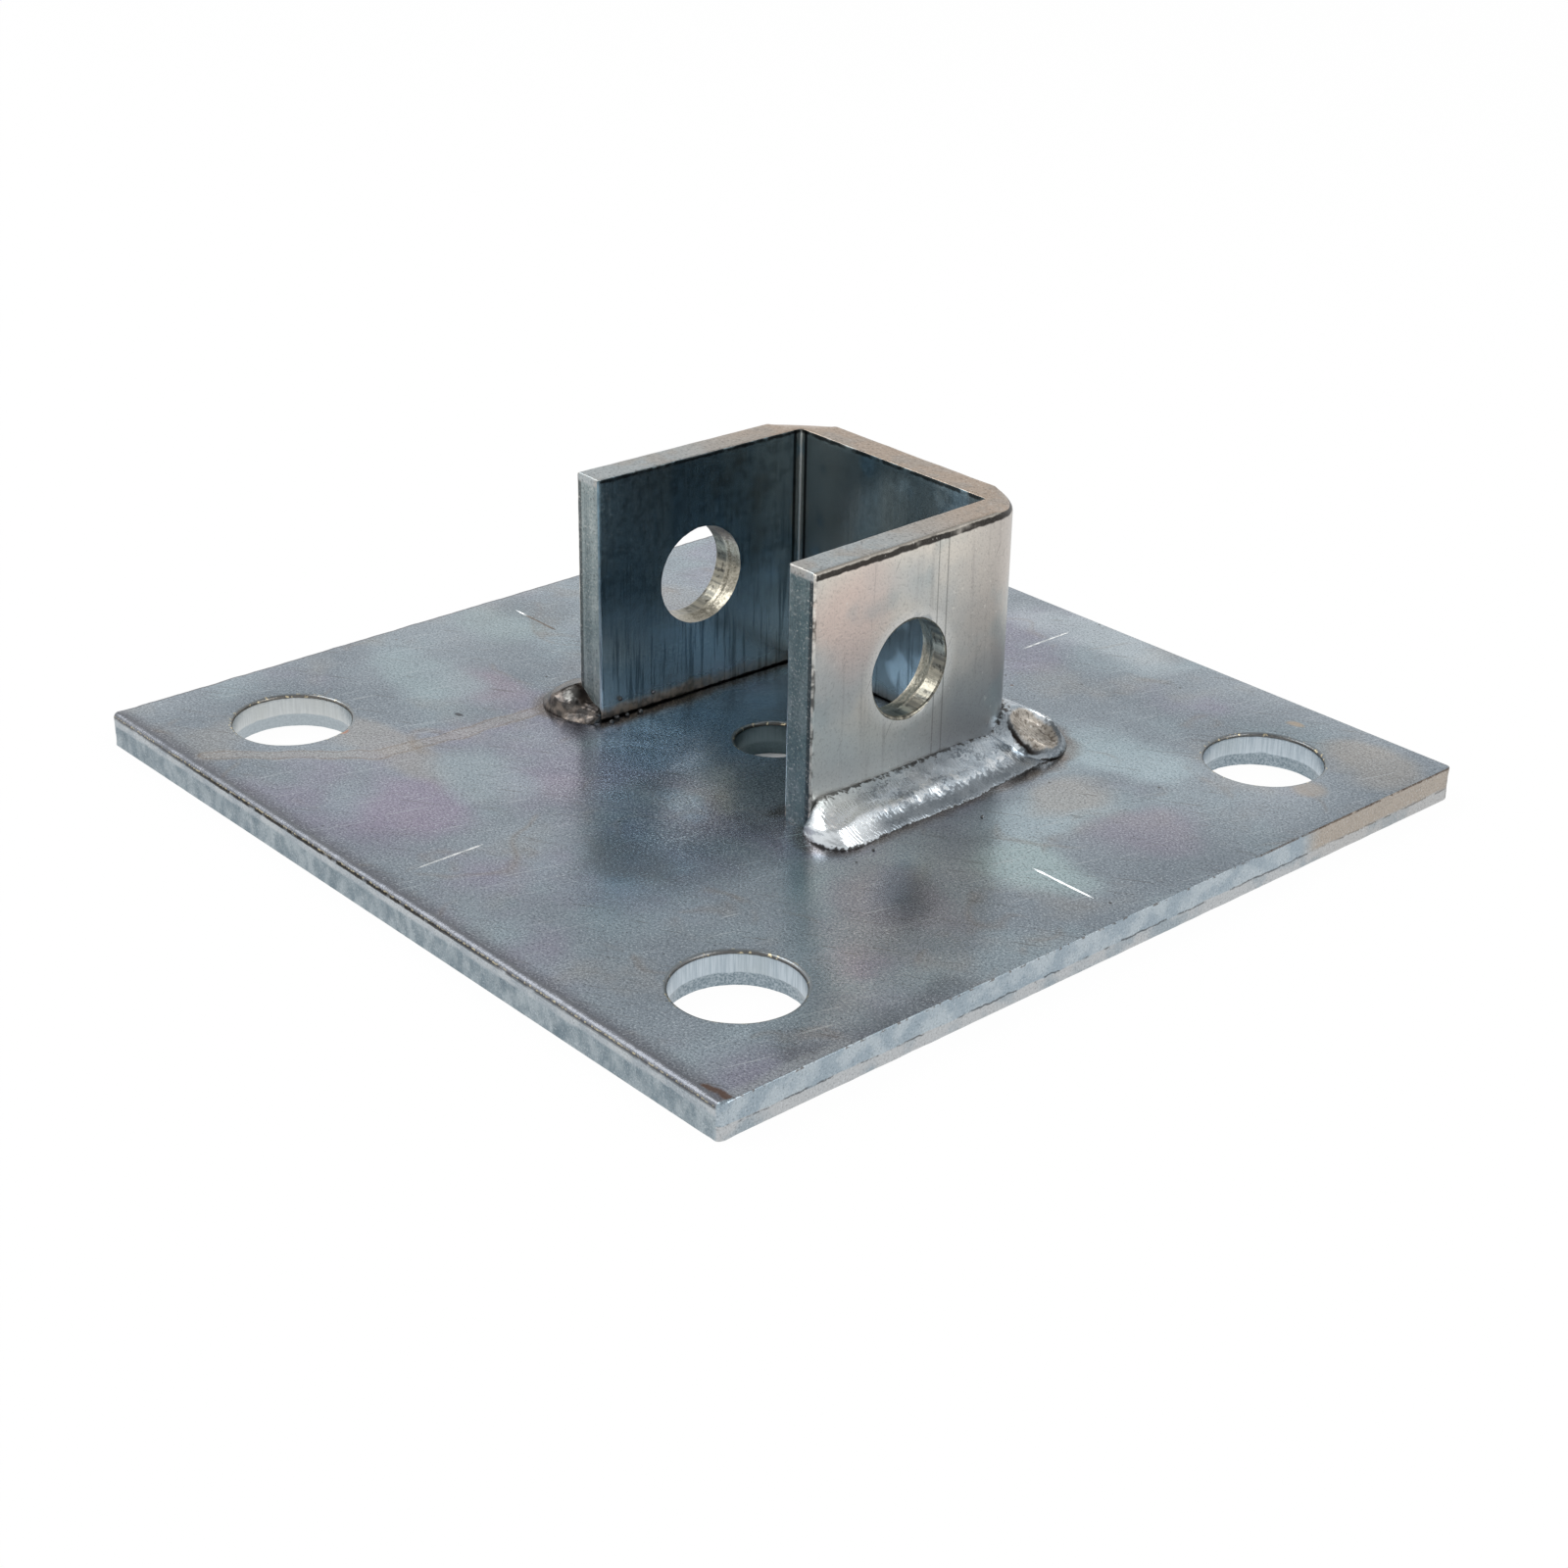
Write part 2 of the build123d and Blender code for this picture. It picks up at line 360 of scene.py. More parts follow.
def bar_stations():
    """Pairs of an inner and an outer point along the bent bar, with how far each is in a bend."""
    (left_foot, left_along, left_out), (right_foot, right_along, right_out) = ear_frame(-1), ear_frame(1)
    across = Vector((1, 0))
    lines = []
    inner_face, outer_face = (BAR_THICKNESS, web_inner_y, INNER_BEND), (0, web_outer_y, OUTER_BEND)
    for thickness, web_y, radius in (inner_face, outer_face):
        left_mouth, right_mouth = left_foot - left_out * thickness, right_foot - right_out * thickness
        left_corner = left_mouth + left_along * ((web_y - left_mouth.y) / left_along.y)
        right_corner = right_mouth + right_along * ((web_y - right_mouth.y) / right_along.y)
        lines.append((
            left_mouth,
            bend(left_corner, left_along, across, radius, BEND_STEPS),
            bend(right_corner, across, -right_along, radius, BEND_STEPS),
            right_mouth,
        ))
    stations = []
    (a_mouth, a_left, a_right, a_end), (b_mouth, b_left, b_right, b_end) = lines
    # The sections lie closer together towards the mouth.
    for step in range(EAR_STEPS):
        share = (step / EAR_STEPS) ** 1.2
        stations.append((a_mouth.lerp(a_left[0], share), b_mouth.lerp(b_left[0], share), 0))
    for step in range(BEND_STEPS + 1):
        stations.append((a_left[step], b_left[step], math.sin(math.pi * step / BEND_STEPS)))
    for step in range(1, WEB_STEPS):
        share = step / WEB_STEPS
        stations.append((a_left[-1].lerp(a_right[0], share), b_left[-1].lerp(b_right[0], share), 0))
    for step in range(BEND_STEPS + 1):
        stations.append((a_right[step], b_right[step], math.sin(math.pi * step / BEND_STEPS)))
    for step in range(1, EAR_STEPS + 1):
        share = 1 - (1 - step / EAR_STEPS) ** 1.2
        stations.append((a_right[-1].lerp(a_end, share), b_right[-1].lerp(b_end, share), 0))
    return stations


def bar_section(inner, outer, in_bend, inset):
    """Rows of points up the inner face, over the top, up the outer face and under the foot."""
    across = outer - inner
    width = across.length
    across = across.normalized()
    x, y = (inner + outer) / 2
    inner_top = 0.28 * (1 + 0.5 * wobble(x, y, 0, size=3)) + 0.1 * in_bend
    outer_top = 0.8 * (1 + 0.2 * wobble(x, y, 4, size=4))
    foot = 0.4
    height = BAR_WIDTH

    def dipped(u, z):
        sunk = BEND_DIP * in_bend ** 0.7 * (u / width) ** 1.4
        return z - sunk * ease(z, height - 9, height)

    def placed(u, z):
        u = min(max(u, inset), width - inset)
        z = min(z, height - inset)
        spot = inner + across * u
        return spot.x, spot.y, plate_top + dipped(u, z)

    def face_row(top_roll, start, direction):
        row = []
        for angle in quarter(FOOT_STEPS):
            back = foot * (1 - math.sin(angle))
            row.append(placed(start + direction * back, foot * (1 - math.cos(angle))))
        for level in range(1, WALL_LEVELS):
            row.append(placed(start, mix(foot, height - top_roll, level / WALL_LEVELS)))
        for angle in quarter(4):
            back = top_roll * (1 - math.cos(angle))
            row.append(placed(start + direction * back, height - top_roll * (1 - math.sin(angle))))
        return row

    inner_row = face_row(inner_top, 0, 1)
    outer_row = face_row(outer_top, width, -1)
    over, under = [], []
    for step in range(1, TOP_STEPS):
        share = step / TOP_STEPS
        over.append(placed(mix(inner_top, width - outer_top, share), height))
        under.append(placed(mix(foot, width - foot, share), 0))
    return inner_row, over, outer_row, under


def make_bar(outside, inside, edge):
    """The bent bar as sections all along it, with a grid of quads over each sheared end."""
    points, faces, sections = [], [], []
    stations = bar_stations()
    arris = 0.35
    ends = []
    for (inner, outer, _), (next_inner, next_outer, _) in (stations[:2], stations[:-3:-1]):
        ahead_inner, ahead_outer = (next_inner - inner).normalized(), (next_outer - outer).normalized()
        rings = []
        for angle in quarter(4)[:-1]:
            back, inset = arris * (1 - math.cos(angle)), arris * (1 - math.sin(angle))
            rings.append((inner + ahead_inner * back, outer + ahead_outer * back, 0, inset))
        ends.append(rings)
        full = (inner + ahead_inner * arris, outer + ahead_outer * arris, 0)
        stations[0 if len(ends) == 1 else -1] = full
    course = ends[0] + [(inner, outer, in_bend, 0) for inner, outer, in_bend in stations] + ends[1][::-1]
    for inner, outer, in_bend, inset in course:
        rows = []
        for row in bar_section(inner, outer, in_bend, inset):
            rows.append(list(range(len(points), len(points) + len(row))))
            points += row
        sections.append(rows)
    rings = [inner + over + outer[::-1] + under[::-1] for inner, over, outer, under in sections]
    inner_count = len(sections[0][0])
    over_count = len(sections[0][1])
    for one, other in zip(rings, rings[1:]):
        for i in range(len(one)):
            j = (i + 1) % len(one)
            if i < inner_count - 3:
                finish = INSIDE
            elif i < inner_count + over_count + 1:
                finish = EDGE
            else:
                finish = OUTSIDE
            faces.append(((one[i], one[j], other[j], other[i]), finish))
    for inner_row, over, outer_row, under in (sections[0], sections[-1]):
        lines = []
        for level, (a, b) in enumerate(zip(inner_row, outer_row)):
            if level == 0:
                lines.append([a] + under + [b])
            elif level == len(inner_row) - 1:
                lines.append([a] + over + [b])
            else:
                line = [a]
                for step in range(1, TOP_STEPS):
                    line.append(len(points))
                    points.append(Vector(points[a]).lerp(Vector(points[b]), step / TOP_STEPS))
                lines.append(line + [b])
        for one, other in zip(lines, lines[1:]):
            band(faces, one, other, EDGE, closed=False)
    return make_piece("bar_bent_to_u", points, faces, (outside, inside, edge))


def bolt_hole_cutter(side, finish):
    """Closed cutter with the shape that the punch leaves in an ear, from the outer face inwards."""
    foot, along, _ = ear_frame(side)
    start = foot + along * BOLT_HOLE_INSET
    start.y = mouth_y + BOLT_HOLE_INSET
    points, faces, rings = [], [], []
    for step in range(BOLT_HOLE_SEGMENTS):
        angle = 2 * math.pi * step / BOLT_HOLE_SEGMENTS
        profile = punched_profile(BOLT_HOLE / 2, BAR_THICKNESS, angle, 71 + side)
        outermost, innermost = profile[0][0], profile[-1][0]
        profile = [(outermost, -1.5)] + profile + [(innermost, BAR_THICKNESS + 1.5)]
        first = len(points)
        for radius, depth in profile:
            points.append((
                start.x - side * depth,
                start.y + radius * math.cos(angle),
                plate_top + BOLT_HOLE_INSET + radius * math.sin(angle),
            ))
        rings.append(range(first, len(points)))
    for one, other in zip(rings, rings[1:] + rings[:1]):
        band(faces, one, other, 0, closed=False)
    faces.append((tuple(ring[0] for ring in rings), 0))
    faces.append((tuple(ring[-1] for ring in rings), 0))
    return make_piece("cutter", points, faces, (finish,))


def make_bracket(outside, inside, edge, bolt_hole):
    """The bent bar with a bolt hole cut through each ear."""
    bar = make_bar(outside, inside, edge)
    for side in (-1, 1):
        cutter = bolt_hole_cutter(side, bolt_hole)
        cut = bar.modifiers.new("hole", "BOOLEAN")
        cut.object = cutter
        cut.operation = "DIFFERENCE"
        cut.solver = "EXACT"
        cut.material_mode = "TRANSFER"
        bpy.context.view_layer.update()
        shaped = bpy.data.meshes.new_from_object(bar.evaluated_get(bpy.context.evaluated_depsgraph_get()))
        bar.modifiers.clear()
        bar.data = shaped
        bpy.data.objects.remove(cutter)
    bar.data.shade_smooth()
    bar.data.set_sharp_from_angle(angle=math.radians(32))
    return bar


# Welds

# Each bead is a list of sections, in millimetres: the place of the toe on the plate, the place of the
# shoulder on the bar and its height, and how full the face is, from 1 for flat to 2 for a quarter ellipse.
# On the ears a place is a distance back from the mouth and a distance out.
RIGHT_BEAD = (
    (0.1, -1.0, 0.6, -0.8, 0.3, 1.5), (-1.3, -0.2, 0.6, -0.4, 1.9, 1.6), (-2.2, 1.6, 0.8, -0.3, 3.3, 1.7),
    (-2.6, 3.8, 1.3, -0.3, 4.3, 1.75), (-2.2, 6.1, 2.2, -0.3, 4.8, 1.75), (-0.7, 8.0, 3.4, -0.3, 5.0, 1.65),
    (2.2, 8.9, 5.2, -0.3, 4.9, 1.45), (7, 8.6, 9, -0.3, 4.7, 1.28), (15, 8.5, 16, -0.3, 4.6, 1.22),
    (24, 8.9, 24, -0.3, 4.6, 1.22), (32, 8.4, 31, -0.3, 4.6, 1.2), (38, 7.6, 36, -0.3, 4.4, 1.1),
    (42, 7.3, 39.5, -0.5, 4.0, 1.0), (45.5, 7.3, 42, -1.2, 3.9, 1.0),
)
LEFT_BEAD = (
    (-0.5, -5.7, 0.6, -5.3, 2.3, 1.2), (-1.7, -5.5, 0.6, -4.9, 3.1, 0.95),
    (-2.8, -4.3, 0.6, -3.6, 3.5, 0.85), (-3.7, -2.2, 0.6, -2.2, 4.0, 0.95),
    (-4.3, 0.3, 0.6, -1.0, 4.5, 1.35), (-4.4, 2.8, 1.0, -0.3, 4.9, 1.75),
    (-3.6, 5.6, 1.9, -0.3, 4.9, 1.55), (-1.6, 8.0, 3.2, -0.3, 4.8, 1.35),
    (1.4, 8.9, 4.8, -0.3, 4.7, 1.35), (5, 8.8, 7, -0.3, 4.6, 1.3),
    (12, 8.6, 13, -0.3, 4.5, 1.38), (25, 8.3, 25, -0.3, 4.6, 1.4),
    (36, 8.0, 36, -0.3, 4.6, 1.38), (42, 7.6, 40.5, -0.4, 4.6, 1.5),
    (45, 6.0, 42.6, -1.0, 3.4, 1.7), (46.6, 3.5, 44.4, 0.2, 0.8, 1.7),
)
# The back bead's places are the plan's own.
BACK_BEAD = (
    (-33.0, 29.6, -28.2, 26.8, 0.8, 1.7), (-32.8, 32.4, -25.6, 26.0, 3.6, 1.8),
    (-30.6, 35.2, -23.2, 27.8, 5.2, 1.7), (-26.0, 36.8, -20.5, 29.3, 5.6, 1.5),
    (-17, 36.9, -15, 29.5, 5.5, 1.4), (-6, 36.7, -5, 29.5, 5.5, 1.4),
    (6, 36.9, 5, 29.5, 5.4, 1.4), (16, 36.8, 12.5, 29.5, 5.5, 1.4),
    (21.6, 36.9, 16.8, 29.4, 5.7, 1.5), (26.6, 36.9, 20.0, 28.8, 6.0, 1.55),
    (30.3, 35.6, 22.2, 27.5, 6.2, 1.6), (32.8, 33.3, 23.7, 26.0, 6.2, 1.6),
    (33.9, 30.6, 24.8, 24.2, 5.8, 1.55), (33.6, 28.0, 25.3, 22.4, 4.8, 1.4),
    (32.4, 25.9, 25.6, 20.8, 3.4, 1.3),
)
FACE_STEPS = 26
SECTION_SPACING = 0.26
RIPPLE_SPACING = 0.62
RIPPLE_BOW = 0.085


def between(sections, number, share):
    """Section part of the way between two of a bead's sections, on a smooth curve through them all."""
    last = len(sections) - 1
    before, first, second, after = (
        sections[min(max(number + step, 0), last)] for step in (-1, 0, 1, 2)
    )
    return [
        b + share * (c - a + share * (2 * a - 5 * b + 4 * c - d + share * (3 * (b - c) + d - a))) / 2
        for a, b, c, d in zip(before, first, second, after)
    ]


def bead_ring(toe, shoulder, height, fullness):
    """Points over a bead's face from its toe to its shoulder, then down inside the bar and back."""
    across = toe - shoulder
    reach = across.length
    across = across.normalized()
    uneven = 0.2 * wobble(toe.x, toe.y, 2, size=3.5) + 0.1 * wobble(toe.x, toe.y, 6, size=1.1)
    reach = max(reach + uneven * ease(reach, 0.5, 3), 0.05)
    slope = math.hypot(reach, height)
    face = []
    for step in range(FACE_STEPS + 1):
        angle = math.pi / 2 * step / FACE_STEPS
        out = reach * max(math.cos(angle), 0) ** (2 / fullness)
        up = height * math.sin(angle) ** (2 / fullness)
        share = up / height
        # A low ridge runs along the middle, and the metal froze in shallow lumps.
        middle = 0.5 + 0.1 * wobble(toe.x, toe.y, 1, size=9)
        lift = 0.24 * math.exp(-((share - middle) / 0.08) ** 2)
        lift -= 0.12 * math.exp(-((share - 0.28) / 0.12) ** 2)
        lift += 0.1 * wobble(toe.x + share * 3, toe.y, share * 5, size=2.2)
        lift += 0.03 * wobble(toe.x + share * 4, toe.y, share * 9, size=0.7)
        lift *= ease(share, 0, 0.1) * ease(1 - share, 0, 0.08) * ease(height, 0.5, 3)
        spot = shoulder + across * (out + lift * height / slope)
        face.append((spot.x, spot.y, max(up + lift * reach / slope, 0)))
    inside = shoulder - across
    return face + [(inside.x, inside.y, height), (inside.x, inside.y, 0)]


CRATER_PLACE = Vector((28.8, 29.3, plate_top + 3.0))
CRATER_RADIUS = 4.9
CRATER_DEPTH = 0.7
CRATER_AZIMUTH = 53.0
CRATER_ELEVATION = 60.0
LIP_WIDTH = 1.4
LIP_HEIGHT = 0.25


def crater_dish(point):
    """Presses a point of the back weld into the dished crater at its right end, with a lip round it."""
    azimuth, elevation = math.radians(CRATER_AZIMUTH), math.radians(CRATER_ELEVATION)
    facing = Vector((
        math.cos(elevation) * math.cos(azimuth),
        math.cos(elevation) * math.sin(azimuth),
        math.sin(elevation),
    ))
    point = Vector(point)
    away = point - CRATER_PLACE
    height = away.dot(facing)
    aside = (away - facing * height).length
    rim = CRATER_RADIUS * (1 + 0.12 * wobble(point.x, point.y, 4, size=4))
    if aside > rim + LIP_WIDTH or abs(height) > 5:
        return point
    if aside > rim:
        return point + facing * LIP_HEIGHT * (1 - ease(aside, rim, rim + LIP_WIDTH))
    floor = CRATER_DEPTH * ((aside / rim) ** 2 - 0.3)
    floor += 0.12 * wobble(*point, size=0.8) + 0.12 * wobble(*point, size=2.4)
    lowered = mix(floor, height + LIP_HEIGHT, ease(aside, rim - 0.8, rim))
    return point + facing * (lowered - height)


def make_bead(name, sections, placed, finish, shaped=None):
    """Fillet bead through a list of sections, closed along its root."""
    points, faces, rings, course = [], [], [], []
    for number in range(len(sections) - 1):
        now, then = sections[number], sections[number + 1]
        length = max(math.dist(now[:2], then[:2]), math.dist(now[2:4], then[2:4]))
        count = max(int(length / SECTION_SPACING), 4)
        course += [between(sections, number, step / count) for step in range(count)]
    course.append(sections[-1])
    middle = sum(section[1] + section[3] for section in course) / len(course) / 2
    across, ripple = [], []
    for toe_x, toe_y, shoulder_x, shoulder_y, height, fullness in course:
        ring = bead_ring(Vector((toe_x, toe_y)), Vector((shoulder_x, shoulder_y)), height, fullness)
        rings.append(range(len(points), len(points) + len(ring)))
        for x, y, z in ring:
            spot = placed(x, y)
            spot = Vector((spot.x, spot.y, plate_top + z))
            points.append(shaped(spot) if shaped else spot)
            # A ripple bows back on both sides of the bead's middle.
            ripple.append(x - RIPPLE_BOW * (y - middle) ** 2)
        across += [step / FACE_STEPS for step in range(FACE_STEPS + 1)] + [1, 0]
    for one, other in zip(rings, rings[1:]):
        band(faces, one, other, 0)
    faces.append((tuple(rings[0]), 0))
    faces.append((tuple(rings[-1]), 0))
    bead = make_piece(name, points, faces, (finish,), sharp_angle=70)
    bead.data.attributes.new("across", "FLOAT", "POINT").data.foreach_set("value", across)
    bead.data.attributes.new("ripple", "FLOAT", "POINT").data.foreach_set("value", ripple)
    return bead


# Places and radii of the balls of spatter
SPATTER = (
    (23.5, 27.5, 11.9, 0.5), (24.1, 27.0, 11.7, 0.38), (24.0, 27.1, 11.0, 0.42),
    (23.2, 27.8, 10.9, 0.3), (-22.4, -13.6, 8.9, 0.42), (-22.25, -6.8, 8.2, 0.34),
    (-22.1, -14.6, 6.0, 0.55), (-21.9, -12.6, 5.95, 0.42), (-21.6, -10.1, 5.95, 0.46),
    (-21.4, -16.2, 5.9, 0.45), (41.0, 6.0, 5.85, 0.3), (38.3, -14.2, 5.85, 0.24),
)


def make_spatter(finish):
    """Balls of spatter that stuck to the bar and the plate beside the welds."""
    shell = bmesh.new()
    for x, y, z, radius in SPATTER:
        ball = bmesh.ops.create_icosphere(shell, subdivisions=3, radius=radius * MM)
        for corner in ball["verts"]:
            lump = 1 + 0.2 * wobble(corner.co.x / MM, corner.co.y / MM, corner.co.z / MM + x, size=0.5)
            corner.co = corner.co * lump + Vector((x, y, z)) * MM
    mesh = bpy.data.meshes.new("weld_spatter")
    shell.to_mesh(mesh)
    shell.free()
    mesh.materials.append(finish)
    mesh.shade_smooth()
    piece = bpy.data.objects.new("weld_spatter", mesh)
    bpy.context.scene.collection.objects.link(piece)
    return piece


def make_welds(finish):
    def on_ear(side):
        foot, along, outward = ear_frame(side)
        return lambda back, out: foot + along * back + outward * out

    def in_plan(x, y):
        return Vector((x, y))

    return {
        "weld_right": make_bead("weld_right_bead", RIGHT_BEAD, on_ear(1), finish),
        "weld_left": make_bead("weld_left_bead", LEFT_BEAD, on_ear(-1), finish),
        "weld_back": make_bead("weld_back_bead", BACK_BEAD, in_plan, finish, crater_dish),
    }


# Finishes

def srgb(code):
    """Linear colour from an sRGB hex code."""
    values = [int(code[i:i + 2], 16) / 255 for i in (1, 3, 5)]
    return [v / 12.92 if v <= 0.04045 else ((v + 0.055) / 1.055) ** 2.4 for v in values] + [1]


EASED = {"interpolation_type": "SMOOTHSTEP"}

# How far a pattern is drawn out along X, Y and Z. A low number draws it out a lot.
EVEN = (1, 1, 1)
UPRIGHT = (1, 1, 0.05)
DOWN_THE_WALL = (1, 1, 0.06)
THROUGH_THE_EAR = (0.06, 1, 1)

# All of the part is zinc plated steel, which is bright and fully metallic. Its faces differ by their cut.
# Their real grain is about 0.1 mm, which the picture would not show, so it is drawn at 0.3 to 0.45 mm.


def add(tree, kind, inputs=(), **settings):
    """Adds a node. Its inputs are values or other nodes' outputs, as a row or by their names or numbers."""
    node = tree.nodes.new("ShaderNode" + kind)
    for key, value in settings.items():
        setattr(node, key, value)
    for key, value in inputs.items() if isinstance(inputs, dict) else enumerate(inputs):
        if isinstance(value, bpy.types.NodeSocket):
            tree.links.new(value, node.inputs[key])
        else:
            node.inputs[key].default_value = value
    return node


def layered(tree, ground, *layers):
    """Lays tones over a ground, one after another, each by a share that varies over the surface."""
    for tone, share in layers:
        over = srgb(tone) if isinstance(tone, str) else tone
        ground = add(tree, "Mix", {0: share, 6: ground, 7: over}, data_type="RGBA").outputs[2]
    return ground


def overlap(tree, share, *others):
    """Share that is left where several shares overlap."""
    for other in others:
        share = add(tree, "Math", (share, other), operation="MULTIPLY").outputs[0]
    return share


def apart(tree, value, middle):
    """How far a value lies from a middle one, on either side of it."""
    off = add(tree, "Math", (value, middle), operation="SUBTRACT").outputs[0]
    return add(tree, "Math", (off,), operation="ABSOLUTE").outputs[0]


def new_finish(name):
    """Empty material, and its places in millimetres."""
    finish = bpy.data.materials.new(name)
    finish.use_nodes = True
    tree = finish.node_tree
    tree.nodes.clear()
    place = add(tree, "TexCoord").outputs["Object"]
    place = add(tree, "VectorMath", {0: place, "Scale": 1 / MM}, operation="SCALE").outputs[0]
    return finish, tree, place


def patch(tree, place, ground, colour, centre, size, strength):
    """Lays a soft-edged patch of another tone over a colour, round a place in millimetres."""
    shifted = add(tree, "VectorMath", (place, (*centre, 0)), operation="SUBTRACT").outputs[0]
    scaled = add(
        tree, "VectorMath", (shifted, (1 / size[0], 1 / size[1], 0)), operation="MULTIPLY",
    ).outputs[0]
    far = add(tree, "VectorMath", (scaled,), operation="LENGTH").outputs[1]
    share = add(tree, "MapRange", (far, 0.45, 1.0, strength, 0.0), **EASED).outputs[0]
    return layered(tree, ground, (colour, share))


def cloud(tree, place, size, low, high, strength=1.0, detail=3.0, shift=(0, 0, 0)):
    """Share that drifts over the surface in clouds of about a size in millimetres."""
    moved = add(tree, "VectorMath", (place, shift), operation="ADD").outputs[0]
    value = add(tree, "TexNoise", {"Vector": moved, "Scale": 1 / size, "Detail": detail}).outputs[0]
    return add(tree, "MapRange", (value, low, high, 0.0, strength), **EASED).outputs[0]


def dried_line(tree, place, size, thickness, strength, shift=(0, 0, 0)):
    """Share for the fine wandering lines that a drying rinse leaves, broken up along their length."""
    moved = add(tree, "VectorMath", (place, shift), operation="ADD").outputs[0]
    value = add(tree, "TexNoise", {"Vector": moved, "Scale": 1 / size, "Detail": 2.5}).outputs[0]
    off = apart(tree, value, 0.5)
    line = add(tree, "MapRange", (off, 0.0, thickness / size * 1.6, strength, 0.0)).outputs[0]
    gaps = cloud(tree, moved, size / 3, 0.5, 0.6)
    return overlap(tree, line, gaps)


def scratches(tree, place, angle, length, width, share_kept, strength, shift=(0, 0, 0)):
    """Share for fine straight scratches that run at an angle in plan."""
    drawn = add(
        tree, "Mapping",
        {
            "Vector": place, "Location": shift, "Rotation": (0, 0, math.radians(angle)),
            "Scale": (length, width, width),
        },
        vector_type="TEXTURE",
    ).outputs[0]
    value = add(tree, "TexNoise", {"Vector": drawn, "Scale": 1.0, "Detail": 1.0}).outputs[0]
    return add(tree, "MapRange", (value, 1 - share_kept, 1.03 - share_kept, 0.0, strength)).outputs[0]


def specks(tree, place, spacing, size, share_kept, strength):
    """Share for small round specks, a few of them per spacing in millimetres."""
    cells = add(tree, "TexVoronoi", {"Vector": place, "Scale": 1 / spacing}).outputs
    near = add(
        tree, "MapRange", (cells["Distance"], size / spacing * 0.5, size / spacing, strength, 0.0),
    ).outputs[0]
    lot = add(tree, "SeparateColor", (cells["Color"],)).outputs[0]
    kept = add(tree, "Math", (lot, share_kept), operation="LESS_THAN").outputs[0]
    return overlap(tree, near, kept)


def away_from_run(tree, place, start, end):
    """Distance in plan from a straight run between two places, in millimetres."""
    start, end = Vector((*start, 0)), Vector((*end, 0))
    run = end - start
    flat = add(tree, "VectorMath", (place, (1, 1, 0)), operation="MULTIPLY").outputs[0]
    offset = add(tree, "VectorMath", (flat, start), operation="SUBTRACT").outputs[0]
    share = add(tree, "VectorMath", (offset, run / run.length_squared), operation="DOT_PRODUCT").outputs[1]
    share = add(tree, "Math", (share, 0), operation="ADD", use_clamp=True).outputs[0]
    foot = add(tree, "VectorMath", {0: run, "Scale": share}, operation="SCALE").outputs[0]
    return add(tree, "VectorMath", (offset, foot), operation="DISTANCE").outputs[1]


def warped(tree, place, size, amount):
    """Places pushed about by noise, so that what is drawn on them gets uneven edges."""
    push = add(tree, "TexNoise", {"Vector": place, "Scale": 1 / size, "Detail": 2.0}).outputs[1]
    push = add(tree, "VectorMath", (push, (0.5, 0.5, 0.5)), operation="SUBTRACT").outputs[0]
    push = add(tree, "VectorMath", {0: push, "Scale": amount * 2}, operation="SCALE").outputs[0]
    return add(tree, "VectorMath", (place, push), operation="ADD").outputs[0]


def relief(tree, place, parts):
    """Bump from noises, each with a size and a height in millimetres."""
    normal = None
    for size, height, stretch in parts:
        drawn = add(tree, "VectorMath", (place, stretch), operation="MULTIPLY").outputs[0]
        value = add(tree, "TexNoise", {"Vector": drawn, "Scale": 1 / size, "Detail": 2.0}).outputs[0]
        inputs = {"Height": value, "Distance": height * MM}
        if normal:
            inputs["Normal"] = normal
        normal = add(tree, "Bump", inputs).outputs[0]
    return normal


def coat(tree, colour, roughness, normal):
    """Bare metal shader with this colour, roughness and relief."""
    metal = add(
        tree, "BsdfPrincipled",
        {"Base Color": colour, "Metallic": 1.0, "Roughness": roughness, "Normal": normal},
    ).outputs[0]
    add(tree, "OutputMaterial", (metal,))


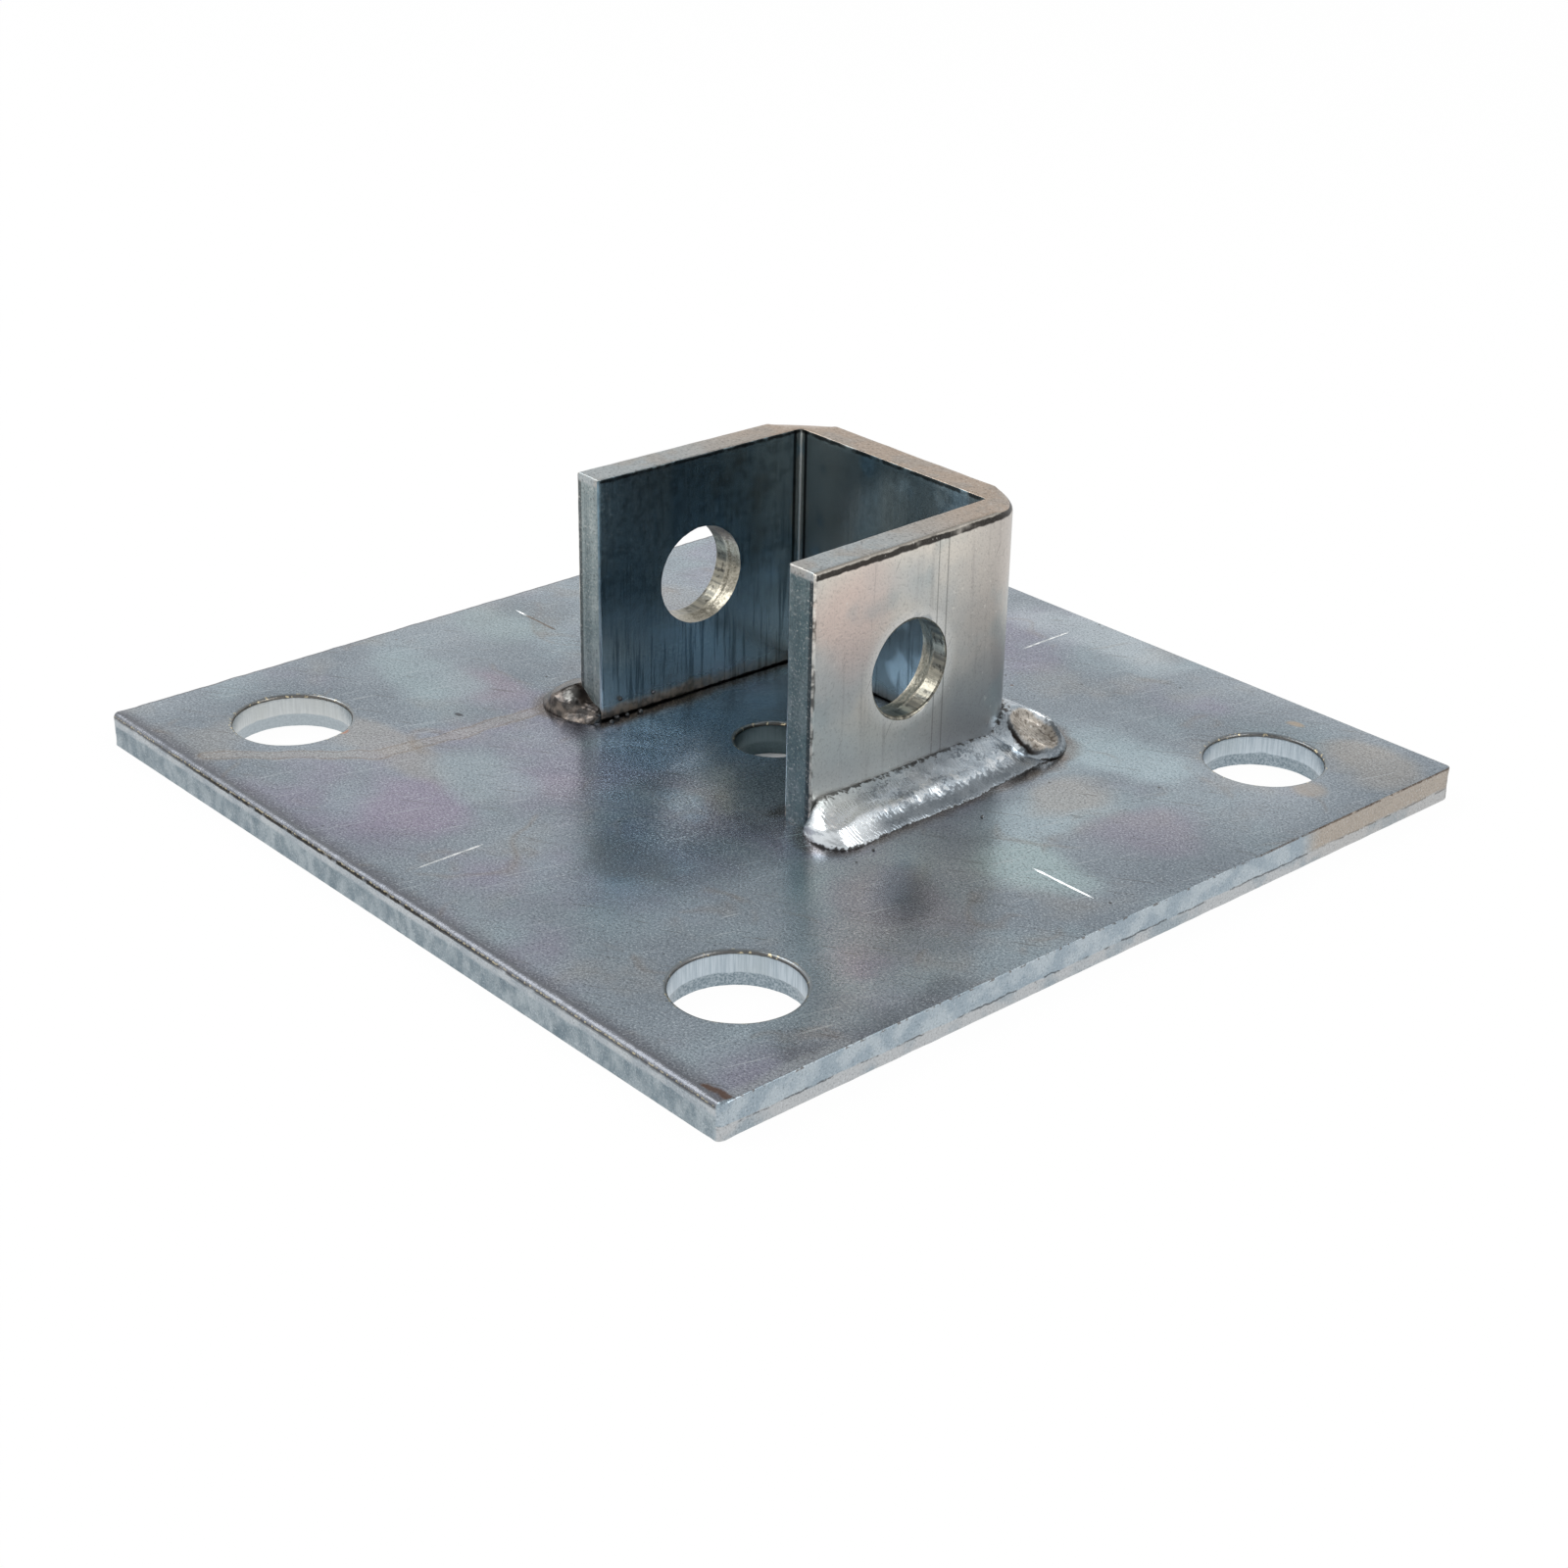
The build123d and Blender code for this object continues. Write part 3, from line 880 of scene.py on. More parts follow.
def zinc_on_mill_face():
    """Zinc plate over hot rolled plate: satin grey with soft lilac, green and straw clouds of passivate."""
    finish, tree, place = new_finish("zinc_plated_mill_face")
    drifting = warped(tree, place, 18, 7)
    colour = layered(
        tree, srgb("#848F99"),
        ("#98A3AC", cloud(tree, place, 30, 0.3, 0.7, detail=4.0)),
        ("#9790A6", cloud(tree, place, 22, 0.48, 0.7, 0.6, shift=(40, 9, 3))),
        ("#9FB2BA", cloud(tree, place, 20, 0.5, 0.72, 0.6, shift=(-7, 31, 8))),
        ("#A5A39F", cloud(tree, place, 17, 0.54, 0.74, 0.5, shift=(90, -20, 5))),
    )
    for tone, centre, size, strength in (
        ("#9B8FA6", (-16, -58), (15, 12), 0.75), ("#A394A4", (-47, -24), (13, 10), 0.6),
        ("#A6BABF", (-56, -28), (14, 9), 0.65), ("#A3B6B8", (-66, -6), (12, 9), 0.5),
        ("#B0C4CC", (39, 39), (17, 10), 0.8), ("#B0C6C8", (57, 0), (13, 10), 0.8),
        ("#AEC1C9", (46, 13), (10, 16), 0.7), ("#8D8894", (52, -22), (13, 11), 0.7),
        ("#B0A9A2", (44, 20), (6, 9), 0.6), ("#787D84", (57, -31), (11, 9), 0.35),
        ("#C4D0D6", (4, 71), (24, 9), 0.55), ("#A8A5A2", (-37, -50), (22, 7), 0.65),
        ("#ADA79F", (66, 66), (12, 9), 0.6), ("#9A90A2", (60, 22), (10, 12), 0.5),
        ("#9DB3C6", (0, 6), (22, 22), 0.7), ("#A3C3DA", (-10, -10), (18, 16), 0.6),
        ("#76828C", (-68, 4), (10, 10), 0.5), ("#66707A", (18, -38), (17, 15), 0.4),
        ("#A2C4DA", (9, -26), (7, 4.5), 0.35), ("#A79CAC", (-8, -36), (10, 9), 0.4),
        ("#6E6B6B", (19, -44), (12, 9), 0.5), ("#A9B9C0", (-20, -44), (13, 9), 0.5),
    ):
        colour = patch(tree, drifting, colour, tone, centre, size, strength)
    # Where the shear's hold-down rubbed the plate it is darker.
    rub = away_from_run(tree, drifting, (74.5, -60), (73.5, -32))
    colour = layered(
        tree, colour,
        ("#5F656C", add(tree, "MapRange", (rub, 0.5, 4.5, 0.6, 0.0), **EASED).outputs[0]),
    )
    # Along the -Y edge the shear drew the plate down, and painted shade darkens the top before the roll; the
    # +X arris is rubbed light.
    beside = add(tree, "SeparateXYZ", (warped(tree, place, 4, 0.8),)).outputs
    colour = layered(
        tree, colour,
        ("#6A6A72", add(tree, "MapRange", (beside[1], -72.2, -75.2, 0, 0.75), **EASED).outputs[0]),
    )
    worn = away_from_run(tree, warped(tree, place, 4, 0.8), (75.8, -73), (75.8, -54))
    colour = layered(
        tree, colour,
        ("#AAB0B4", add(tree, "MapRange", (worn, 2.4, 0.5, 0, 0.6), **EASED).outputs[0]),
    )
    # The last rinse dried in a double tide line, from the -Y edge past the left hole to the left weld.
    tide = None
    course = ((-52, -73), (-43.7, -62.2), (-35.9, -52.7), (-33.5, -41.3), (-33.1, -21))
    for start, end in zip(course, course[1:]):
        far = away_from_run(tree, warped(tree, place, 6, 1.6), start, end)
        tide = add(tree, "Math", (tide, far), operation="MINIMUM").outputs[0] if tide else far
    line = apart(tree, tide, 1.3)
    colour = layered(
        tree, colour,
        ("#B3ABA2", add(tree, "MapRange", (tide, 2.6, 0.4, 0, 0.45), **EASED).outputs[0]),
        ("#857667", add(tree, "MapRange", (line, 0.34, 0.1, 0, 0.5), **EASED).outputs[0]),
        ("#8F7F6E", dried_line(tree, place, 46, 0.35, 0.35)),
        ("#8A7C70", dried_line(tree, place, 31, 0.3, 0.3, shift=(60, 14, 0))),
    )
    # Welding heat browns the plate round the U, and a line of painted shadow darkens it right at the left
    # ear's inner joint.
    warped_fine = warped(tree, place, 3, 0.8)
    for start, end, low, high, tone, strength in (
        ((31.2, -16), (30.4, 27), 5.0, 7.2, "#6E625A", 0.75),
        ((-21.6, -17), (-21.9, 24), 0.5, 2.6, "#7A6E64", 0.85),
        ((-22.3, -17), (-22.1, 24), 0.35, 0.6, "#1D1A18", 0.9),
        ((-21.6, 24.2), (20.8, 24.2), 0.4, 2.4, "#5B524C", 0.8),
        ((20.0, -17), (21.0, 24), 0.4, 2.4, "#5B524C", 0.8),
        ((29.0, 31.0), (30.0, 31.6), 4.2, 7.0, "#7A6B5E", 0.6),
        ((-31.0, -17), (-31.2, 27), 5.2, 7.4, "#6E625A", 0.75),
        ((-26, 33), (26, 33), 4.4, 7.0, "#6E625A", 0.75),
    ):
        far = away_from_run(tree, warped_fine, start, end)
        colour = layered(
            tree, colour,
            (tone, add(tree, "MapRange", (far, low, high, strength, 0.0), **EASED).outputs[0]),
        )
    # Grit and rolled-in scale, drawn coarser than the real 0.1 mm
    grit = add(
        tree, "TexNoise", {"Vector": place, "Scale": 1 / 0.36, "Detail": 3.0, "Roughness": 0.8},
    ).outputs[0]
    colour = layered(
        tree, colour,
        ("#474E55", add(tree, "MapRange", (grit, 0.52, 0.32, 0.0, 0.7), **EASED).outputs[0]),
        ("#D2DADF", add(tree, "MapRange", (grit, 0.52, 0.7, 0.0, 0.62), **EASED).outputs[0]),
    )
    # In front of the U the coat is thin, so the grain stands out more.
    bare = add(tree, "VectorMath", (drifting, (6, -16, plate_top)), operation="DISTANCE").outputs[1]
    bare = add(tree, "MapRange", (bare, 34, 16, 0, 1), **EASED).outputs[0]
    pits = overlap(tree, bare, add(tree, "MapRange", (grit, 0.5, 0.38, 0, 0.45), **EASED).outputs[0])
    peaks = overlap(tree, bare, add(tree, "MapRange", (grit, 0.53, 0.64, 0, 0.4), **EASED).outputs[0])
    colour = layered(
        tree, colour,
        ("#23292F", pits),
        ("#F4F9FC", peaks),
        ("#2B2928", specks(tree, place, 2.6, 0.2, 0.3, 0.75)),
        ("#33302E", specks(tree, place, 5.5, 0.32, 0.35, 0.85)),
        ("#6A5546", specks(tree, place, 9.0, 0.45, 0.2, 0.7)),
        ("#5C5854", scratches(tree, place, 33, 9, 0.35, 0.31, 0.45)),
        ("#C9D0D4", scratches(tree, place, 74, 12, 0.3, 0.295, 0.45, shift=(3, 8, 0))),
    )
    # Small worn and rusty spots by the left and the right hole, and by the front corner
    for tone, centre, size, strength in (
        ("#B97F62", (-46.2, -51.2), (1.2, 1.2), 0.75), ("#3F4247", (-39.5, -33.5), (0.9, 0.6), 0.9),
        ("#B9A68E", (50, 69.6), (2.0, 1.3), 0.7), ("#AFA08F", (66.6, 52.2), (4, 3.5), 0.5),
    ):
        colour = patch(tree, warped_fine, colour, tone, centre, size, strength)
    rusty = away_from_run(tree, warped_fine, (71.3, -74.7), (75.7, -74.0))
    colour = layered(
        tree, colour,
        ("#62493A", add(tree, "MapRange", (rusty, 0.75, 0.25, 0, 0.85), **EASED).outputs[0]),
    )
    roughness = add(
        tree, "MapRange", (cloud(tree, place, 12, 0.3, 0.7), 0, 1, 0.2, 0.28), **EASED,
    ).outputs[0]
    coat(tree, colour, roughness, relief(tree, place, ((9, 0.06, EVEN), (0.45, 0.016, EVEN))))
    return finish


def zinc_on_sheared_edge():
    """Zinc over a sheared edge: a smooth burnished band beside a blue-grey torn one, and a grimy arris."""
    finish, tree, place = new_finish("zinc_plated_sheared_edge")
    split = add(tree, "SeparateXYZ", (warped(tree, place, 5, 0.45),)).outputs
    plain = add(tree, "SeparateXYZ", (place,)).outputs
    fine = add(tree, "SeparateXYZ", (warped(tree, place, 0.9, 0.12),)).outputs[2]
    # The +X and +Y edges were cut from below, so their bands lie the other way up.
    from_below = add(tree, "Math", (plain[0], plain[1]), operation="MAXIMUM").outputs[0]
    from_below = add(tree, "MapRange", (from_below, 75.3, 75.6, 0, 1), **EASED).outputs[0]
    height = split[2]
    brushed = add(tree, "VectorMath", (place, (1, 1, 0.55)), operation="MULTIPLY").outputs[0]
    torn = layered(
        tree, srgb("#7A8992"),
        ("#A1ACB2", cloud(tree, brushed, 1.8, 0.3, 0.7)),
        ("#5D6F7A", cloud(tree, brushed, 4.5, 0.5, 0.7, 0.65)),
    )
    burnished = layered(tree, srgb("#A0A9B0"), ("#B7BDC1", cloud(tree, place, 5, 0.4, 0.6)))
    grainy_above = layered(tree, srgb("#98A6B0"), ("#AFBAC1", cloud(tree, place, 4, 0.4, 0.6)))
    smooth_below = layered(tree, srgb("#B7BABC"), ("#9AA5AC", cloud(tree, place, 6, 0.45, 0.65)))
    cut_above = layered(
        tree, torn,
        (burnished, add(tree, "MapRange", (height, 3.3, 3.9, 0, 1), **EASED).outputs[0]),
    )
    cut_below = layered(
        tree, grainy_above,
        (smooth_below, add(tree, "MapRange", (height, 2.15, 2.3, 1, 0), **EASED).outputs[0]),
    )
    colour = layered(tree, cut_above, (cut_below, from_below))
    line = apart(tree, add(tree, "SeparateXYZ", (warped(tree, place, 1.6, 0.35),)).outputs[2], 2.2)
    line = overlap(
        tree, add(tree, "MapRange", (line, 0.05, 0.2, 0.8, 0), **EASED).outputs[0], from_below,
        cloud(tree, place, 3, 0.42, 0.52),
    )
    colour = layered(tree, colour, ("#4A4D50", line))
    # A tan stain runs towards the right corner.
    stain = overlap(
        tree, add(tree, "MapRange", (split[1], 38, 44, 0, 0.8), **EASED).outputs[0],
        add(tree, "MapRange", (height, 2.0, 2.6, 0.2, 1), **EASED).outputs[0],
        add(tree, "MapRange", (plain[0], 66, 74, 0, 1), **EASED).outputs[0], from_below,
    )
    colour = layered(tree, colour, ("#AB9C8B", stain))
    # Rust creeps along the top arris, more of it towards the right corner.
    rust = overlap(
        tree, add(tree, "MapRange", (fine, 5.45, 5.6, 0, 0.7), **EASED).outputs[0],
        cloud(tree, place, 1.0, 0.54, 0.62), from_below,
    )
    more_rust = overlap(
        tree, add(tree, "MapRange", (fine, 5.5, 5.62, 0, 0.75), **EASED).outputs[0],
        add(tree, "MapRange", (split[1], 20, 34, 0, 1), **EASED).outputs[0],
        cloud(tree, place, 4, 0.35, 0.5), from_below,
    )
    flat = add(tree, "VectorMath", (place, (1, 1, 0)), operation="MULTIPLY").outputs[0]
    corner = (plate_half, plate_half, 0)
    corner = add(tree, "VectorMath", (flat, corner), operation="DISTANCE").outputs[1]
    colour = layered(
        tree, colour,
        ("#4E3E33", rust),
        ("#4E3E33", more_rust),
        ("#54463B", add(tree, "MapRange", (corner, 1.2, 0.5, 0, 0.8), **EASED).outputs[0]),
    )
    grainy = add(
        tree, "TexNoise", {"Vector": place, "Scale": 1 / 0.32, "Detail": 3.0, "Roughness": 0.7},
    ).outputs[0]
    colour = layered(
        tree, colour,
        ("#565C61", add(tree, "MapRange", (grainy, 0.48, 0.3, 0.0, 0.5), **EASED).outputs[0]),
        ("#D5DCE0", add(tree, "MapRange", (grainy, 0.53, 0.72, 0.0, 0.5), **EASED).outputs[0]),
    )
    # On the other two edges the shear drew the top down into a roll, darkened with painted shade, which ends
    # in a grimy line.
    from_above = add(tree, "MapRange", (from_below, 0, 1, 1, 0), **EASED).outputs[0]
    roll = overlap(tree, add(tree, "MapRange", (fine, 4.85, 5.0, 0, 0.85), **EASED).outputs[0], from_above)
    grime = apart(tree, fine, 4.95)
    grime = overlap(
        tree, add(tree, "MapRange", (grime, 0.2, 0.36, 1, 0), **EASED).outputs[0],
        cloud(tree, place, 2.4, 0.28, 0.48, 0.95),
        add(tree, "MapRange", (plain[0], -66, -42, 0.45, 1), **EASED).outputs[0],
        add(tree, "MapRange", (plain[0], 5, 45, 1, 0.5), **EASED).outputs[0], from_above,
    )
    glints = overlap(
        tree, add(tree, "MapRange", (fine, 5.1, 5.16, 0, 1), **EASED).outputs[0],
        add(tree, "MapRange", (fine, 5.36, 5.26, 0, 1), **EASED).outputs[0],
        cloud(tree, place, 0.45, 0.45, 0.62, 0.6), from_above,
    )
    colour = layered(tree, colour, ("#6A6C73", roll), ("#1F1B17", grime), ("#D9CDA8", glints))
    coat(tree, colour, 0.36, relief(tree, place, ((0.4, 0.05, EVEN), (3, 0.08, EVEN))))
    return finish


def zinc_in_scribed_mark():
    """Scribed groove: fresh metal under the zinc, bright, and brown with dirt on the -X side."""
    finish, tree, place = new_finish("zinc_plated_scribed_mark")
    across = add(tree, "SeparateXYZ", (place,)).outputs[0]
    dirty = overlap(
        tree, add(tree, "MapRange", (across, -65.5, -67.5, 0.9, 0), **EASED).outputs[0],
        add(tree, "MapRange", (across, -50, -54, 0, 1), **EASED).outputs[0],
    )
    colour = layered(
        tree, srgb("#F4F6F6"),
        ("#C9CED0", cloud(tree, place, 1.5, 0.4, 0.6)),
        ("#4A3F36", dirty),
    )
    coat(tree, colour, 0.45, relief(tree, place, ((0.4, 0.02, EVEN),)))
    return finish


def zinc_on_punched_wall():
    """Zinc over a punched hole's wall: a bright streaked land, then a darker torn break-out."""
    finish, tree, place = new_finish("zinc_plated_punched_wall")
    height = add(tree, "SeparateXYZ", (warped(tree, place, 2.5, 0.35),)).outputs[2]
    across = add(tree, "SeparateXYZ", (place,)).outputs[0]
    drawn = add(tree, "VectorMath", (place, DOWN_THE_WALL), operation="MULTIPLY").outputs[0]
    streaks = add(tree, "TexNoise", {"Vector": drawn, "Scale": 1 / 0.3, "Detail": 2.0}).outputs[0]
    bright = layered(
        tree, srgb("#A6B3BC"),
        ("#C0CBD3", add(tree, "MapRange", (streaks, 0.3, 0.7, 0, 1), **EASED).outputs[0]),
        ("#A9B3B6", cloud(tree, place, 7, 0.45, 0.65, 0.4)),
        ("#D2CFC7", add(tree, "MapRange", (across, -40, -60, 0, 0.45), **EASED).outputs[0]),
    )
    grainy = add(
        tree, "TexNoise", {"Vector": place, "Scale": 1 / 0.35, "Detail": 3.0, "Roughness": 0.7},
    ).outputs[0]
    torn = layered(
        tree, srgb("#718089"),
        ("#A3AFB7", add(tree, "MapRange", (grainy, 0.34, 0.66, 0, 1), **EASED).outputs[0]),
        ("#B4BCC0", add(tree, "MapRange", (across, -40, -60, 0, 0.6), **EASED).outputs[0]),
    )
    colour = layered(
        tree, bright,
        (torn, add(tree, "MapRange", (height, 2.1, 2.5, 1, 0), **EASED).outputs[0]),
    )
    # The centre hole lies in the U's shade, and its wall is darkened with painted shade, dark teal.
    middle = add(tree, "VectorMath", (place,), operation="LENGTH").outputs[1]
    colour = layered(
        tree, colour,
        ("#5C6E72", add(tree, "MapRange", (middle, 12, 10, 0, 0.85), **EASED).outputs[0]),
    )
    rim = add(tree, "SeparateXYZ", (warped(tree, place, 0.8, 0.1),)).outputs[2]
    colour = layered(
        tree, colour,
        ("#4A4036", add(tree, "MapRange", (rim, 5.15, 5.3, 0, 0.8), **EASED).outputs[0]),
        ("#8F979C", add(tree, "MapRange", (rim, 5.6, 5.75, 0, 0.9), **EASED).outputs[0]),
    )
    glints = overlap(
        tree, add(tree, "MapRange", (rim, 5.3, 5.4, 0, 1), **EASED).outputs[0],
        cloud(tree, place, 0.8, 0.58, 0.66, 0.8),
    )
    colour = layered(tree, colour, ("#E6D8B4", glints))
    coat(tree, colour, 0.32, relief(tree, place, ((0.4, 0.03, EVEN), (0.6, 0.012, DOWN_THE_WALL))))
    return finish


def zinc_on_bolt_hole():
    """Zinc over the bolt hole's wall in an ear: bright and dark draw marks, and a grainy beige break-out."""
    finish, tree, place = new_finish("zinc_plated_bolt_hole")
    drawn = add(tree, "VectorMath", (place, THROUGH_THE_EAR), operation="MULTIPLY").outputs[0]
    streaks = add(tree, "TexNoise", {"Vector": drawn, "Scale": 1 / 0.8, "Detail": 3.0}).outputs[0]
    colour = layered(
        tree, srgb("#63645F"),
        ("#A29E90", add(tree, "MapRange", (streaks, 0.3, 0.72, 0, 1), **EASED).outputs[0]),
        ("#23221F", cloud(tree, place, 1.1, 0.56, 0.66, 0.6)),
    )
    across = add(tree, "SeparateXYZ", (warped(tree, place, 2.5, 0.3),)).outputs[0]
    off = apart(tree, across, OFF_CENTRE)
    grainy = add(
        tree, "TexNoise", {"Vector": place, "Scale": 1 / 0.35, "Detail": 3.0, "Roughness": 0.7},
    ).outputs[0]
    torn = layered(
        tree, srgb("#8A8679"),
        ("#B5B0A2", add(tree, "MapRange", (grainy, 0.36, 0.64, 0, 1), **EASED).outputs[0]),
    )
    colour = layered(
        tree, colour,
        (torn, add(tree, "MapRange", (off, 24.2, 24.8, 0.95, 0), **EASED).outputs[0]),
    )
    coat(tree, colour, 0.3, relief(tree, place, ((0.5, 0.05, EVEN), (0.6, 0.015, THROUGH_THE_EAR))))
    return finish


def laid_flat(tree, place):
    """Places with the upright face laid flat, so that scratches can run over it at an angle."""
    split = add(tree, "SeparateXYZ", (place,)).outputs
    return add(tree, "CombineXYZ", (split[1], split[2], split[0])).outputs[0]


def streaks_down(tree, place, size, low, high, strength):
    """Share for soft upright streaks that the press drew down the bar."""
    drawn = add(tree, "VectorMath", (place, UPRIGHT), operation="MULTIPLY").outputs[0]
    value = add(
        tree, "TexNoise", {"Vector": drawn, "Scale": 1 / size, "Detail": 4.0, "Roughness": 0.6},
    ).outputs[0]
    return add(tree, "MapRange", (value, low, high, 0, strength), **EASED).outputs[0]


def zinc_on_bar_outside():
    """Zinc over the bar's outer face: bright and warm, with painted shade that makes it greyer low at the
    back, and fine upright streaks.
    """
    finish, tree, place = new_finish("zinc_plated_bar_outside")
    drifting = warped(tree, place, 14, 6)
    split = add(tree, "SeparateXYZ", (drifting,)).outputs
    colour = layered(tree, srgb("#DAD4CA"), ("#C6C7C4", cloud(tree, place, 16, 0.4, 0.65)))
    pink = add(tree, "VectorMath", (drifting, (27, -9, 38)), operation="DISTANCE").outputs[1]
    # Painted shade: the face turns greyer towards the back and lower down.
    colour = layered(
        tree, colour,
        ("#DCC6BC", add(tree, "MapRange", (pink, 11, 3, 0, 0.75), **EASED).outputs[0]),
        ("#ABA4A0", add(tree, "MapRange", (split[1], 8, 24, 0, 0.65), **EASED).outputs[0]),
        ("#BEBFBB", add(tree, "MapRange", (split[2], 26, 10, 0, 0.8), **EASED).outputs[0]),
    )
    # Painted shade, darkest low at the back.
    painted_shade_low_back = overlap(
        tree, add(tree, "MapRange", (split[1], -4, 16, 0, 1), **EASED).outputs[0],
        add(tree, "MapRange", (split[2], 30, 14, 0, 0.75), **EASED).outputs[0],
    )
    colour = layered(
        tree, colour,
        ("#878A8F", painted_shade_low_back),
        ("#8FA5AA", cloud(tree, place, 13, 0.55, 0.68, 0.3, shift=(0, 7, 30))),
        ("#8B8583", streaks_down(tree, place, 1.6, 0.55, 0.75, 0.35)),
    )
    # The punch dished the metal round the hole a little, and a painted highlight rings the hole where the
    # dish would catch the light.
    flat = add(tree, "VectorMath", (place, (0, 1, 1)), operation="MULTIPLY").outputs[0]
    hole = (0, mouth_y + BOLT_HOLE_INSET, plate_top + BOLT_HOLE_INSET)
    rim = add(tree, "VectorMath", (flat, hole), operation="DISTANCE").outputs[1]
    colour = layered(
        tree, colour,
        ("#EDEBE6", add(tree, "MapRange", (rim, 10.5, 8.0, 0, 0.7), **EASED).outputs[0]),
    )
    # The die scored two upright lines up each ear.
    back = add(tree, "SeparateXYZ", (place,)).outputs[1]
    for middle, width in ((8.6, 0.2), (10.6, 0.26)):
        line = apart(tree, back, middle)
        colour = layered(
            tree, colour,
            ("#6F6C6A", add(tree, "MapRange", (line, width, 0.03, 0, 0.55), **EASED).outputs[0]),
        )
    colour = layered(
        tree, colour,
        ("#57524E", scratches(tree, laid_flat(tree, place), 62, 7, 0.3, 0.26, 0.45)),
    )
    # Shearing dragged the top edge over; its rolled band carries a painted dark reflection, broken up, and
    # the arris above it a painted highlight.
    level = add(tree, "SeparateXYZ", (warped(tree, place, 2, 0.3),)).outputs[2]
    painted_dark_roll = overlap(
        tree,
        add(tree, "MapRange", (level, bracket_top - 1.5, bracket_top - 1.2, 0, 1), **EASED).outputs[0],
        cloud(tree, place, 5, 0.05, 0.3, 0.95),
    )
    rim = add(tree, "MapRange", (level, bracket_top - 0.5, bracket_top - 0.3, 0, 0.6), **EASED).outputs[0]
    colour = layered(tree, colour, ("#1E1B19", painted_dark_roll), ("#CFC9BF", rim))
    # The front arris has a bright burr, and grime beside it.
    front = add(tree, "SeparateXYZ", (warped(tree, place, 1.5, 0.2),)).outputs[1]
    grime = overlap(
        tree, add(tree, "MapRange", (front, mouth_y + 0.7, mouth_y + 0.45, 0, 0.75), **EASED).outputs[0],
        cloud(tree, place, 2.5, 0.42, 0.56),
    )
    burr = overlap(
        tree, add(tree, "MapRange", (front, mouth_y + 0.45, mouth_y + 0.25, 0, 0.8), **EASED).outputs[0],
        cloud(tree, place, 1.3, 0.42, 0.6),
    )
    colour = layered(
        tree, colour,
        ("#33302D", grime),
        ("#ECE8E0", burr),
        ("#F2EEE6", cloud(tree, place, 0.9, 0.66, 0.74, 0.3)),
    )
    grit = add(
        tree, "TexNoise", {"Vector": place, "Scale": 1 / 0.4, "Detail": 3.0, "Roughness": 0.7},
    ).outputs[0]
    colour = layered(
        tree, colour,
        ("#6B6A68", add(tree, "MapRange", (grit, 0.5, 0.3, 0.0, 0.3), **EASED).outputs[0]),
        ("#3A3835", specks(tree, place, 4.5, 0.26, 0.2, 0.7)),
    )
    coat(tree, colour, 0.34, relief(tree, place, ((7, 0.07, EVEN), (0.4, 0.025, EVEN))))
    return finish


